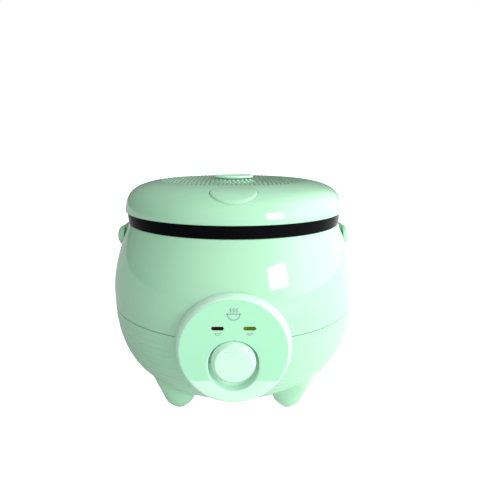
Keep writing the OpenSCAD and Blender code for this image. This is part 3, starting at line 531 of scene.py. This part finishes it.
# %% [markdown]
# ## The ribbed plate
# Straight ribs run from front to back across a round insert. A grid that follows the circle would bend
# them, so this grid keeps its columns straight: column x runs along the chord from
# y = -sqrt(R^2 - x^2) to +sqrt(R^2 - x^2), ten columns to a rib.

# %% Ribbed plate
RIB_PITCH, GROOVE = 3.3, 0.8
columns_per_rib = 10
x = np.linspace(-RIBBED_R, RIBBED_R, 2 * int(RIBBED_R / RIB_PITCH * columns_per_rib) + 1)[:, None]
chord = np.sqrt(np.maximum(RIBBED_R**2 - x**2, 0))
share = np.sin(np.linspace(-np.pi / 2, np.pi / 2, 41))[None, :]
y = chord * share
wave = 0.5 + 0.5 * np.cos(2 * np.pi * x / RIB_PITCH)
crest = np.clip((wave - 0.32) / 0.36, 0, 1)
crest = crest * crest * (3 - 2 * crest)
level = dome(np.hypot(x, y))
top = np.stack([x + 0 * y, y, level - 0.08 - GROOVE * (1 - crest)], -1)
bottom = np.stack([x + 0 * y, y, level - POCKET + 0.1], -1)[:, ::-1]
plate_rings = np.concatenate([top, bottom], 1)
plate = stack("ribbed_plate", plate_rings)
cut(plate, prism("middle", oval(VENT_R + 0.8, VENT_R + 0.8, 128), 170, 190, upright))
dress(plate, "lid_rib_plate")

# %% [markdown]
# ## Steam cap and lid button
# The cap is a shallow dish with a thin raised rim, six steam holes and a clip ring below. The button is an
# oval piece of the dome itself, tipped up a little at the front, with a soft edge all round.

# %% Steam cap
foot_z, cap_z = LID_TOP + 0.1, LID_TOP + 2.4
cap_line = soften([[0, foot_z], [VENT_R - 0.8, foot_z], [VENT_R, foot_z + 0.8], [VENT_R - 0.3, cap_z - 0.1],
                   [VENT_R - 1.4, cap_z], [VENT_R - 2.4, foot_z + 1.5], [5, foot_z + 1.1], [0, foot_z + 1]],
                  [0, 0.5, 0.5, 0.6, 0.7, 1.2, 2, 0], 7)
cap = spin("cap_dish", cap_line, 192)
cut(cap, spin("ring", np.array([[4.6, LID_TOP - 9], [6.3, LID_TOP - 9], [6.3, foot_z + 0.5],
                               [4.6, foot_z + 0.5]]), 96), "UNION")
for k in range(6):
    t = k * np.pi / 3
    spot = 4.2 * np.array([np.cos(t), np.sin(t)])
    cut(cap, prism("steam_hole", oval(1.1, 1.1, 32) + spot, 170, 190, upright))
dress(cap, "steam_cap")

# %% Lid button
TILT = radians(4)
hinge_y = BUTTON_Y + BUTTON_Y_HALF


def button_top(x, y):
    """The dome's height, tipped by the tilt about the button's back edge."""
    return dome(np.hypot(x, y)) + (hinge_y - y) * np.tan(TILT)


edge = np.linspace(0, np.pi / 2, 7)[:, None]
shrink = np.concatenate([np.array([[0.0]]), 0.9 * (1 - np.cos(edge)), np.linspace(1.6, 10.7, 12)[:, None]])
drop = np.concatenate([np.array([[0.0]]), 0.9 * (1 - np.sin(edge)), np.zeros((12, 1))])
t = (np.arange(128) / 128 * 2 * np.pi)[None, :]
rim_scale = 1 - shrink / BUTTON_Y_HALF
x = (BUTTON_X_HALF) * rim_scale * np.cos(t)
y = BUTTON_Y + BUTTON_Y_HALF * rim_scale * np.sin(t)
z = button_top(x, y) - drop
z[0] = 167.5
button = stack("button_oval", np.stack([x, y, z], -1))
cut(button, prism("post", oval(2, 2, 32) + [0, -66], 164, 169, upright), "UNION")
dress(button, "lid_button")

# %% [markdown]
# ## The carry handle
# A flat-sided bail: two arms, two quarter turns and a bar behind. The section is a rounded slot carried
# along the path, and each end swells into a domed eye round its pivot. The eye's two flat faces
# stand a tenth of a millimetre off the arm's, because faces that share one plane can't be joined cleanly.

# %% Carry handle
REACH, CORNER = 107.0 - ARM_T / 2, 24.0
middle = ARM_IN + ARM_T / 2
turn = np.linspace(0, np.pi / 2, 24)
arm = np.stack([np.full(30, middle), np.linspace(0, REACH - CORNER, 30)], -1)
bend = np.stack([middle - CORNER + CORNER * np.cos(turn), REACH - CORNER + CORNER * np.sin(turn)], -1)[1:]
half = np.concatenate([arm, bend])
plan = np.concatenate([half, half[::-1] * [-1, 1]])
path = np.column_stack([plan, np.full(len(plan), HANDLE_Z)])
section = slot(ARM_T / 2, (ARM_H - ARM_T) / 2, 48, tall=True)
handle = sweep("handle", path, section, (0, 0, 1))
eye_face = ARM_T - 0.13
eye_line = soften([[0, -0.1], [EYE_R, -0.1], [EYE_R, 2.2], [EYE_R - 1.2, 4.2], [EYE_R - 3.6, 5.6],
                   [4.6, eye_face], [0, eye_face]], [0, 0.4, 1.2, 2, 2, 0.8, 0], 7)
EYE_TURN = 0.02     # a small turn, so the eye's points miss the arm's
for side in (-1, 1):
    eye = spin("eye", eye_line * [1, side], 96, (side * ARM_IN, 0, HANDLE_Z), facing_side, EYE_TURN)
    cut(handle, eye, "UNION")
    bore = oval(3.05, 3.05, 48) + [0, HANDLE_Z]
    cut(handle, prism("bore", bore, side * 85, side * 110, facing_side))
    seat = oval(5, 5, 64) + [0, HANDLE_Z]
    cut(handle, prism("seat", seat, side * (ARM_IN + 3), side * 110, facing_side))
dress(handle, "carry_handle")

# %% [markdown]
# ## The front panel
# The drum stands out of the belly on its own level axis. Its face has a wide soft edge, a rounded recess
# for the knob, two lamp windows and a slot for the knob's stem.

# %% Panel drum
PANEL_R, FACE, RECESS_Z, RECESS_R, STRETCH, RECESS_FLOOR = 37.4, 104.0, 64.7, 17.05, 1.0, 97.0
KNOB_Z, TRAVEL, LAMP_X, LAMP_Z, LAMP_W, LAMP_H = 67.0, 4.5, 10.5, 91.5, 8.4, 2.6
drum_line = soften([[0, FACE], [PANEL_R - 0.8, FACE], [PANEL_R + 1.2, 101], [41, 88], [41.2, 80], [38.8, 80],
                    [38.4, 88], [34.9, 101.6], [0, 101.6]], [0, 1.4, 2.6, 6, 0, 0, 0, 2, 0], 12)
drum = spin("panel_drum", drum_line, 256, (0, 0, PANEL_Z), facing_front)
cut(drum, body_core("core", BASE_Z, BODY_TOP - 5, -0.45))
recess_at = np.array([0, RECESS_Z])


def recess_ring(radius, depth):
    """One ring of the recess: a tall rounded slot at a depth in front of the axis."""
    u, v = (slot(radius, STRETCH, 128, tall=True) + recess_at).T
    return facing_front(u, v, depth)


cup = np.stack([recess_ring(RECESS_R + 1.6, RECESS_FLOOR - 1.5), recess_ring(RECESS_R + 1.6, FACE - 0.4)])
cut(drum, stack("cup", cup), "UNION")
bore = [(RECESS_R - 1.2, 0), (RECESS_R - 0.35, 0.35), (RECESS_R, 1.2), (RECESS_R, FACE - RECESS_FLOOR - 0.7),
        (RECESS_R + 0.2, FACE - RECESS_FLOOR - 0.2), (RECESS_R + 0.7, FACE - RECESS_FLOOR + 0.05),
        (RECESS_R + 0.7, 9)]
cut(drum, stack("recess", np.stack([recess_ring(r, RECESS_FLOOR + d) for r, d in bore])))
stem = slot(3.4, TRAVEL / 2, 48, tall=True) + [0, KNOB_Z - TRAVEL / 2]
cut(drum, prism("stem", stem, 90, 100, facing_front))
for x in (-LAMP_X, LAMP_X):
    window = slot(LAMP_H / 2, (LAMP_W - LAMP_H) / 2, 48) + [x, LAMP_Z]
    cut(drum, prism("window", window, 90, 110, facing_front))
dress(drum, "panel_bezel")

# %% [markdown]
# ## Knob and lamp windows
# The knob is a soft-edged disc with a slanted side and three raised grip lines. The lamp windows are
# small domed slots of coloured plastic that sit in the drum's face.

# %% Knob
KNOB_R, KNOB_BASE, KNOB_FACE = 12.5, 15.2, 106.5
knob_line = soften([[0, KNOB_FACE - 0.15], [KNOB_R - 2, KNOB_FACE], [KNOB_R, KNOB_FACE],
                    [KNOB_R + 0.7, KNOB_FACE - 0.8], [KNOB_BASE - 0.2, 103.2], [KNOB_BASE, 102.2],
                    [KNOB_BASE, RECESS_FLOOR + 0.4], [0, RECESS_FLOOR + 0.4]],
                   [0, 3, 0.5, 0.5, 0.8, 0.8, 0, 0], 8)
knob = spin("knob_disc", knob_line, 192, (0, 0, KNOB_Z), facing_front)
for run, rise in ((5.3, 11.5), (11.2, 8.5), (5.9, 5.6)):
    rings = np.stack([facing_front(*(slot(0.35 - inset, run / 2 - 0.35, 24) + [0, KNOB_Z + rise]).T, depth)
                      for inset, depth in ((0, 105), (0, 106.7), (0.1, 106.92), (0.25, 107))])
    cut(knob, stack("grip", rings), "UNION")
cut(knob, prism("stem", oval(3, 3, 48) + [0, KNOB_Z], 93.2, 98, facing_front), "UNION")
dress(knob, "cook_knob")

# %% Lamp windows
for name, node, x in (("cook_window", "cook_lens", -LAMP_X), ("warm_window", "warm_lens", LAMP_X)):
    rings = []
    for inset, depth in ((0, 101), (0, 104.3), (0.12, 104.45), (0.4, 104.52), (0.9, 104.55)):
        u, v = (slot(LAMP_H / 2 - 0.05 - inset, (LAMP_W - LAMP_H) / 2, 48) + [x, LAMP_Z]).T
        rings.append(facing_front(u, v, depth))
    dress(stack(name, np.stack(rings)), node)

# %% [markdown]
# ## Pot, seal and springs
# Under the lid are the coated pot, the pressed inner lid and its soft seal. They are spun from softened
# outlines. The springs are wires carried along a helix, and the sleeved leads follow a smooth curve
# through a few chosen points.

# %% Pot, inner lid and seal
POT_R, POT_WALL, POT_FLOOR, POT_CORNER, FLANGE_R = 75.2, 1.4, 58.3, 20.0, 82.0
flange_z = BODY_TOP + 0.3
t = np.linspace(-np.pi / 2, 0, 20)[:, None]
bend_at = np.array([POT_R - POT_CORNER, POT_FLOOR + POT_CORNER])
outside = bend_at + POT_CORNER * np.hstack([np.cos(t), np.sin(t)])
within = (bend_at + (POT_CORNER - POT_WALL) * np.hstack([np.cos(t), np.sin(t)]))[::-1]
flange = soften([outside[-1], [POT_R, flange_z], [FLANGE_R, flange_z], [FLANGE_R, flange_z + 1.2],
                 [POT_R - POT_WALL, flange_z + 1.2], within[0]], [0, 0.5, 0.6, 0.6, 1.6, 0])[1:-1]
pot = spin("pot", np.concatenate([[[0, POT_FLOOR]], outside, flange, within, [[0, POT_FLOOR + POT_WALL]]]))
dress(pot, "inner_pot")
disc_line = soften([[9, 149.6], [40, 150.0], [70, 149.4], [76, 149.4], [76, 150.4], [70, 150.4], [40, 151],
                    [9, 150.6]], [0.2, 8, 2, 0.2, 0.2, 2, 8, 0.2])
disc = spin("pressed_lid", disc_line)
for k in range(8):
    spot = 24 * np.array([np.cos(k * np.pi / 4), np.sin(k * np.pi / 4)])
    cut(disc, prism("vent", oval(1.6, 1.6, 32) + spot, 140, 160, upright))
dress(disc, "inner_lid")
seal_line = soften([[76.05, 149], [78.5, 148.7], [81, 148.7], [81.4, 149.6], [80, 151.9], [76.05, 151.9]],
                   0.6)
dress(spin("seal_ring", seal_line), "lid_seal")


# %% Springs and leads
def helix(radius, low, high, turns):
    """(r cos t, r sin t, h), where h rises evenly from low to high over the turns."""
    t = np.linspace(0, turns * 2 * np.pi, int(turns * 28))
    return np.stack([radius * np.cos(t), radius * np.sin(t), np.linspace(low, high, len(t))], -1)


def smooth_route(route, count=60):
    """A curve through the points of a route. Between two points it is the cubic
    (2s^3-3s^2+1) p + (s^3-2s^2+s) m + (-2s^3+3s^2) q + (s^3-s^2) n, with m and n the slopes there."""
    p = np.array(route, float)
    slope = np.gradient(p, axis=0)
    at = np.linspace(0, len(p) - 1 - 1e-9, count)
    i, s = at.astype(int), (at % 1)[:, None]
    return ((2 * s**3 - 3 * s**2 + 1) * p[i] + (s**3 - 2 * s**2 + s) * slope[i]
            + (-2 * s**3 + 3 * s**2) * p[i + 1] + (s**3 - s**2) * slope[i + 1])


# name: radius, wire, low end, high end, turns, place, joint, end that stays, stroke at the joint's limit
LATCH_ARM = 18.0    # from the latch's pin to its spring
coils = {
    "sensor_spring": (10.6, 0.6, 36.2, 56.5, 6, (0, 0), "sensor_plunge", 36.2, 1.5),
    "magnet_spring": (4.2, 0.5, 23.7, 34.2, 5, (0, 0), "magnet_rise", 34.2, 4.5),
    "latch_spring": (3.2, 0.4, 153.7, 159.7, 4, (0, -64), "latch_swing", 153.7, LATCH_ARM * radians(6)),
}
for name, (radius, wire, low, high, turns, (x, y), joint, fixed, stroke) in coils.items():
    path = helix(radius, low + wire, high - wire, turns) + [x, y, 0]
    spring = dress(sweep(name.replace("_", "-"), path, oval(wire, wire, 12), (0, 0, 1)), name)
    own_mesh(spring)
path = helix(2.6, -8.5, 8.5, 7)[:, [2, 1, 0]] * [1, 1, -1] + [0, *HINGE_AT]
dress(sweep("hinge-spring", path, oval(0.5, 0.5, 12), (1, 0, 0)), "hinge_spring")
routes = ([[-7, 79.9, 46], [-8, 76, 42.5], [-12, 66, 40], [-16, 50, 38], [-18, 40, 37.5], [-20, 34, 37]],
          [[7, 79.9, 46], [10, 75, 42], [16, 60, 40], [22, 42, 39.5], [28, 28, 39.8], [30, 24, 39.8],
           [30, 19.5, 39.8]],
          [[14, -15.5, 33], [18, -9, 34], [24, -5, 37], [30, -3.5, 39.6], [30, 0.5, 39.8]])
for k, route in enumerate(routes):
    lead = sweep(f"lead_{k + 1}", smooth_route(route), oval(1.1, 1.1, 16), (0, 0, 1))
    if k == 0:
        leads = lead
    else:
        cut(leads, lead, "UNION")
dress(leads, "wiring")

# %% [markdown]
# ## Printed marks
# The panel carries three small printed marks: a bowl with steam above the lamps, a bowl under the cook
# lamp and a wavy line under the warm lamp. They are plain line pictures, made as thin raised ink.

# %% Marks
INK_FACE = FACE + 0.4


def ink_line(name, route, width):
    """A printed line along a route (x, z), with round ends, standing 0.06 mm proud of the panel's plate."""
    p = smooth_route(route, 32) if len(route) > 2 else np.array(route, float)
    d = np.gradient(p, axis=0)
    d /= np.linalg.norm(d, axis=1)[:, None]
    side = np.stack([-d[:, 1], d[:, 0]], -1) * width / 2
    t = np.linspace(-np.pi / 2, np.pi / 2, 8)[1:-1, None]
    tip = p[-1] + np.cos(t) * d[-1] * width / 2 + np.sin(t) * -side[-1] * -1
    tail = p[0] - np.cos(t) * d[0] * width / 2 - np.sin(t) * side[0]
    outline = np.concatenate([p - side, tip, (p + side)[::-1], tail])
    return prism(name, outline, INK_FACE - 0.02, INK_FACE + 0.06, facing_front)


def ink_marks(name, routes, width, middle, scale):
    """One mark made of several printed lines, drawn about a middle point and scaled."""
    lines = [ink_line(name, np.array(r, float) * scale + middle, width) for r in routes]
    with bpy.context.temp_override(active_object=lines[0], selected_editable_objects=lines):
        bpy.ops.object.join()
    lines[0].name = name
    return dress(lines[0], finish="black_matte", body="housing")


bowl = [[-4.2, 0.6], [-3.6, -1.6], [-1.9, -3], [0, -3.4], [1.9, -3], [3.6, -1.6], [4.2, 0.6]]
rim_line = [[-5.0, 0.9], [5.0, 0.9]]
steam = [[[x, 2.2], [x + 0.7, 3.1], [x, 4.0], [x + 0.7, 5.0]] for x in (-2.4, -0.3, 1.8)]
wavy = [[-2.4, 0], [-1.6, 0.6], [-0.8, 0], [0, -0.6], [0.8, 0], [1.6, 0.6], [2.4, 0]]
ink_marks("bowl_mark", [bowl, rim_line, *steam], 0.75, [0, 100.6], 0.95)
ink_marks("cook_mark", [bowl, rim_line], 0.4, [-LAMP_X, 87.9], 0.36)
ink_marks("warm_mark", [wavy, np.array(wavy) + [0, 1.3]], 0.4, [LAMP_X, 87.1], 0.8)

# %% [markdown]
# ## Finishes
# Nothing moulded is one flat colour. The dye drifts a little, the gloss changes in soft patches where
# hands touch, and a faint orange-peel bump bends each reflection. One function mixes these for every
# plastic and rubber, and another does the same for metals, where the grain has a direction.

# %% Building blocks for materials
def blank(name):
    """A material with its shader, and its noise placed by the object's own coordinates."""
    material = bpy.data.materials.new(name)
    material.use_nodes = True
    tree = material.node_tree
    place = tree.nodes.new("ShaderNodeTexCoord")
    return material, tree, tree.nodes["Principled BSDF"], place.outputs["Object"]


def noise(tree, place, scale, detail=3.0, stretch=(1, 1, 1)):
    """Soft noise at a scale in turns per metre, stretched along chosen axes."""
    mapping = tree.nodes.new("ShaderNodeMapping")
    mapping.inputs["Scale"].default_value = stretch
    cloud = tree.nodes.new("ShaderNodeTexNoise")
    cloud.inputs["Scale"].default_value = scale
    cloud.inputs["Detail"].default_value = detail
    tree.links.new(place, mapping.inputs["Vector"])
    tree.links.new(mapping.outputs["Vector"], cloud.inputs["Vector"])
    return cloud.outputs["Fac"]


def spread(tree, value, low, high, lowest=0.3, highest=0.7):
    """Spreads a noise value over a range."""
    ramp = tree.nodes.new("ShaderNodeMapRange")
    for socket, number in zip(("From Min", "From Max", "To Min", "To Max"), (lowest, highest, low, high)):
        ramp.inputs[socket].default_value = number
    tree.links.new(value, ramp.inputs["Value"])
    return ramp.outputs["Result"]


def tint(tree, value, dark, light):
    """Blends two colours by a noise value."""
    ramp = tree.nodes.new("ShaderNodeValToRGB")
    ramp.color_ramp.elements[0].color = (*dark, 1)
    ramp.color_ramp.elements[0].position = 0.3
    ramp.color_ramp.elements[1].color = (*light, 1)
    ramp.color_ramp.elements[1].position = 0.7
    tree.links.new(value, ramp.inputs["Fac"])
    return ramp.outputs["Color"]


def raised(tree, shader, value, height, strength=1.0):
    """Bumps the surface by a value, height in metres."""
    bump = tree.nodes.new("ShaderNodeBump")
    bump.inputs["Distance"].default_value = height
    bump.inputs["Strength"].default_value = strength
    tree.links.new(value, bump.inputs["Height"])
    tree.links.new(bump.outputs["Normal"], shader.inputs["Normal"])


# %% Plastics, rubbers and metals
def moulded(name, dark, light, gloss, grain=0.00001, grain_scale=900, soft=0.0, shine=0.5):
    """Moulded plastic or rubber. Gloss is the lowest and highest roughness, and shine is how strongly the
    surface mirrors straight on, where 0.5 is plain plastic."""
    material, tree, shader, place = blank(name)
    tree.links.new(tint(tree, noise(tree, place, 18), dark, light), shader.inputs["Base Color"])
    tree.links.new(spread(tree, noise(tree, place, 40, 5), *gloss), shader.inputs["Roughness"])
    raised(tree, shader, noise(tree, place, grain_scale, 4), grain)
    shader.inputs["Specular IOR Level"].default_value = shine
    shader.inputs["Subsurface Weight"].default_value = soft
    return material


def metal(name, dark, light, gloss, stretch=(1, 1, 30), scale=60, grain=0.000006):
    """Bare metal, with fine lines drawn out along the axes that the stretch leaves slow."""
    material, tree, shader, place = blank(name)
    lines = noise(tree, place, scale, 6, stretch)
    tree.links.new(tint(tree, lines, dark, light), shader.inputs["Base Color"])
    tree.links.new(spread(tree, lines, *gloss), shader.inputs["Roughness"])
    raised(tree, shader, lines, grain)
    shader.inputs["Metallic"].default_value = 1.0
    return material


def speckled(name, ground, fleck, gloss, scale, share):
    """A coating with small flecks: dots of a cell pattern that lie under a share of the cell's size."""
    material, tree, shader, place = blank(name)
    cells = tree.nodes.new("ShaderNodeTexVoronoi")
    cells.inputs["Scale"].default_value = scale
    tree.links.new(place, cells.inputs["Vector"])
    dots = spread(tree, cells.outputs["Distance"], 1, 0, share * 0.8, share)
    mix = tint(tree, dots, ground, fleck)
    tree.links.new(mix, shader.inputs["Base Color"])
    tree.links.new(spread(tree, noise(tree, place, 70, 4), *gloss), shader.inputs["Roughness"])
    raised(tree, shader, noise(tree, place, 1400, 3), 0.00001)
    return material


def lens(name, dark, light, bright):
    """A lamp window: deep coloured plastic, with a painted glow at the end where the lamp sits behind it."""
    material, tree, shader, place = blank(name)
    split = tree.nodes.new("ShaderNodeSeparateXYZ")
    tree.links.new(place, split.inputs["Vector"])
    # painted glow: the colour brightens towards the lamp's end of the window
    glow = spread(tree, split.outputs["X"], 1, 0, *bright)
    tree.links.new(tint(tree, glow, dark, light), shader.inputs["Base Color"])
    tree.links.new(spread(tree, noise(tree, place, 300), 0.08, 0.16), shader.inputs["Roughness"])
    raised(tree, shader, noise(tree, place, 2000, 2), 0.000004)
    shader.inputs["Specular IOR Level"].default_value = 0.12
    return material


materials = {
    "mint_gloss": moulded("mint_gloss", (0.37, 0.71, 0.47), (0.385, 0.725, 0.485), (0.05, 0.09), 0.000003,
                          400, shine=0.9),
    # painted highlight: a paler mint for the white sheen on the panel's surround, the knob and the cap
    "mint_pale": moulded("mint_pale", (0.58, 0.88, 0.70), (0.60, 0.90, 0.72), (0.14, 0.2), 0.000003, 900,
                         shine=0.6),
    "mint_plate": moulded("mint_plate", (0.39, 0.79, 0.53), (0.405, 0.805, 0.545), (0.5, 0.6), 0.000006,
                          2200, shine=0.1),
    "black_gloss": moulded("black_gloss", (0.002, 0.002, 0.003), (0.004, 0.004, 0.005), (0.12, 0.2),
                           shine=0.02),
    "white_plastic": moulded("white_plastic", (0.72, 0.74, 0.70), (0.80, 0.81, 0.78), (0.35, 0.5), 0.00002,
                             500),
    "black_matte": moulded("black_matte", (0.022, 0.022, 0.025), (0.04, 0.04, 0.044), (0.5, 0.65), 0.00003,
                           1500),
    "silicone": moulded("silicone", (0.66, 0.70, 0.68), (0.74, 0.77, 0.75), (0.45, 0.6), 0.00002, 700,
                        soft=0.2),
    "foot_rubber": moulded("foot_rubber", (0.45, 0.52, 0.47), (0.54, 0.60, 0.55), (0.6, 0.8), 0.00004, 1200),
    "mica": moulded("mica", (0.50, 0.34, 0.17), (0.66, 0.48, 0.27), (0.6, 0.8), 0.00005, 600),
    "wire_sleeve": moulded("wire_sleeve", (0.60, 0.57, 0.46), (0.82, 0.79, 0.70), (0.7, 0.9), 0.0001, 1600),
    "ferrite": moulded("ferrite", (0.05, 0.05, 0.055), (0.10, 0.10, 0.11), (0.5, 0.7), 0.00004, 1800),
    "element": moulded("element", (0.10, 0.085, 0.08), (0.19, 0.16, 0.15), (0.5, 0.7), 0.00004, 900),
    "print_ink": moulded("print_ink", (0.24, 0.34, 0.31), (0.29, 0.39, 0.36), (0.4, 0.55), 0.000004, 2500),
    "lamp_glass": moulded("lamp_glass", (0.78, 0.76, 0.70), (0.88, 0.86, 0.80), (0.05, 0.1), 0.000004, 800),
    "steel": metal("steel", (0.50, 0.51, 0.53), (0.66, 0.67, 0.69), (0.2, 0.34)),
    "galvanised": metal("galvanised", (0.42, 0.44, 0.45), (0.62, 0.64, 0.65), (0.34, 0.5), (1, 1, 1), 90,
                        0.00001),
    "cast_aluminium": metal("cast_aluminium", (0.60, 0.61, 0.62), (0.74, 0.75, 0.76), (0.34, 0.5), (1, 1, 1),
                            500, 0.00003),
    "sheet_aluminium": metal("sheet_aluminium", (0.70, 0.71, 0.72), (0.84, 0.85, 0.86), (0.22, 0.36),
                             (25, 1, 1), 60),
    "pot_coating": speckled("pot_coating", (0.045, 0.045, 0.05), (0.30, 0.30, 0.31), (0.28, 0.42), 700, 0.16),
    "lens_red": lens("lens_red", (0.016, 0.001, 0.004), (0.10, 0.002, 0.006), (-0.0146, -0.0125)),
    "lens_olive": lens("lens_olive", (0.075, 0.13, 0.001), (0.13, 0.18, 0.003), (0.007, 0.010)),
}
# The panel's surround, the knob and the cap get a paler mint, painted highlight for their white sheen; the
# marks are grey ink.
shades = dict.fromkeys(("panel_drum", "knob_disc", "cap_dish"), "mint_pale")
shades.update(dict.fromkeys(("bowl_mark", "cook_mark", "warm_mark"), "print_ink"))
for piece in [*dressed, *nodes.values()]:
    key = shades.get(piece.name) or piece.get("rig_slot") or finishes[piece.name]
    piece.data.materials.clear()
    piece.data.materials.append(materials[key])
print("finishes:", len(materials))

# %% [markdown]
# ## Floor and light
# The cooker stands on a white table in a white room, as small products are often shown. To the eye both
# are plain white. As lights they are softer: a room that is as bright as it looks would bleach the edges
# of a glossy tub. The room glows gently in front, strongly at the right and hardly at the left, and the
# table does the same, so no line shows on the tub where one ends and the other begins. One square soft
# box at the front right draws the two crisp white windows on the lid and the belly.

# %% Floor
floor_mesh = bpy.data.meshes.new("floor")
reach = 6.0
floor_mesh.from_pydata([(-reach, -reach, 0), (reach, -reach, 0), (reach, reach, 0), (-reach, reach, 0)], [],
                       [(0, 1, 2, 3)])
floor = bpy.data.objects.new("floor", floor_mesh)
scene.collection.objects.link(floor)
paper, tree, shader, place = blank("white_table")
pale = tint(tree, noise(tree, place, 3), (0.50, 0.50, 0.50), (0.52, 0.52, 0.52))
tree.links.new(pale, shader.inputs["Base Color"])
shader.inputs["Roughness"].default_value = 0.9
shader.inputs["Specular IOR Level"].default_value = 0.1
shader.inputs["Emission Color"].default_value = (1, 1, 1, 1)
seen = tree.nodes.new("ShaderNodeLightPath").outputs["Is Camera Ray"]
across = tree.nodes.new("ShaderNodeSeparateXYZ")
tree.links.new(place, across.inputs["Vector"])
brighter = tree.nodes.new("ShaderNodeMath")
brighter.operation = "MAXIMUM"
tree.links.new(spread(tree, across.outputs["X"], 0.1, 1.1, -0.12, 0.40), brighter.inputs[0])
tree.links.new(seen, brighter.inputs[1])
tree.links.new(brighter.outputs["Value"], shader.inputs["Emission Strength"])
floor.data.materials.append(paper)
print("table:", 2 * reach, "m across")

# %% Soft box
def soft_box(name, spot, target, width, height, watts):
    """A flat rectangular light at a spot, facing a target."""
    lamp = bpy.data.lights.new(name, "AREA")
    lamp.shape, lamp.size, lamp.size_y, lamp.energy = "RECTANGLE", width, height, watts
    holder = bpy.data.objects.new(name, lamp)
    scene.collection.objects.link(holder)
    holder.location = spot
    holder.rotation_euler = (Vector(target) - holder.location).to_track_quat("-Z", "Y").to_euler()
    return holder


glint = np.array([0.030, -0.090, 0.122])
toward_box = np.array([0.6456, -0.725, 0.2426])
window_light = soft_box("window", glint + toward_box, glint, 0.32, 0.24, 3)
away = round(float(np.linalg.norm(toward_box)), 2)
print("soft box:", away, "m from the belly,", window_light.data.energy, "W")


# %% The room
world = bpy.data.worlds.new("room")
scene.world = world
world.use_nodes = True
room = world.node_tree


def combine(how, first, second):
    """One number from two, by a sum or the larger."""
    both = room.nodes.new("ShaderNodeMath")
    both.operation = how
    room.links.new(first, both.inputs[0])
    room.links.new(second, both.inputs[1])
    return both.outputs["Value"]


def glow_toward(direction, begin, end, low, high, smooth=False):
    """Brightness by direction: the dot product with an axis, spread from begin..end to low..high."""
    look = room.nodes.new("ShaderNodeTexCoord")
    lean = room.nodes.new("ShaderNodeVectorMath")
    lean.operation = "DOT_PRODUCT"
    lean.inputs[1].default_value = np.array(direction) / np.linalg.norm(direction)
    level = room.nodes.new("ShaderNodeMapRange")
    level.interpolation_type = "SMOOTHSTEP" if smooth else "LINEAR"
    for socket, number in zip(("From Min", "From Max", "To Min", "To Max"), (begin, end, low, high)):
        level.inputs[socket].default_value = number
    room.links.new(look.outputs["Generated"], lean.inputs[0])
    room.links.new(lean.outputs["Value"], level.inputs["Value"])
    return level.outputs["Result"]


overhead = glow_toward((0, -0.2, 1), -0.1, 1, 0.16, 0.5)
from_right = glow_toward((0.95, 0.1, 0.05), 0.4, 1, 0, 2.4, smooth=True)
in_front = glow_toward((0.25, -1, 0.1), 0, 1, 0, 0.75, smooth=True)
seen = room.nodes.new("ShaderNodeLightPath").outputs["Is Camera Ray"]
shell = combine("MAXIMUM", combine("ADD", combine("ADD", overhead, from_right), in_front), seen)
room.links.new(shell, room.nodes["Background"].inputs["Strength"])
room.nodes["Background"].inputs["Color"].default_value = (1, 1, 1, 1)
print("the room glows from above, from the right and in front")
scene.view_settings.view_transform = "Standard"
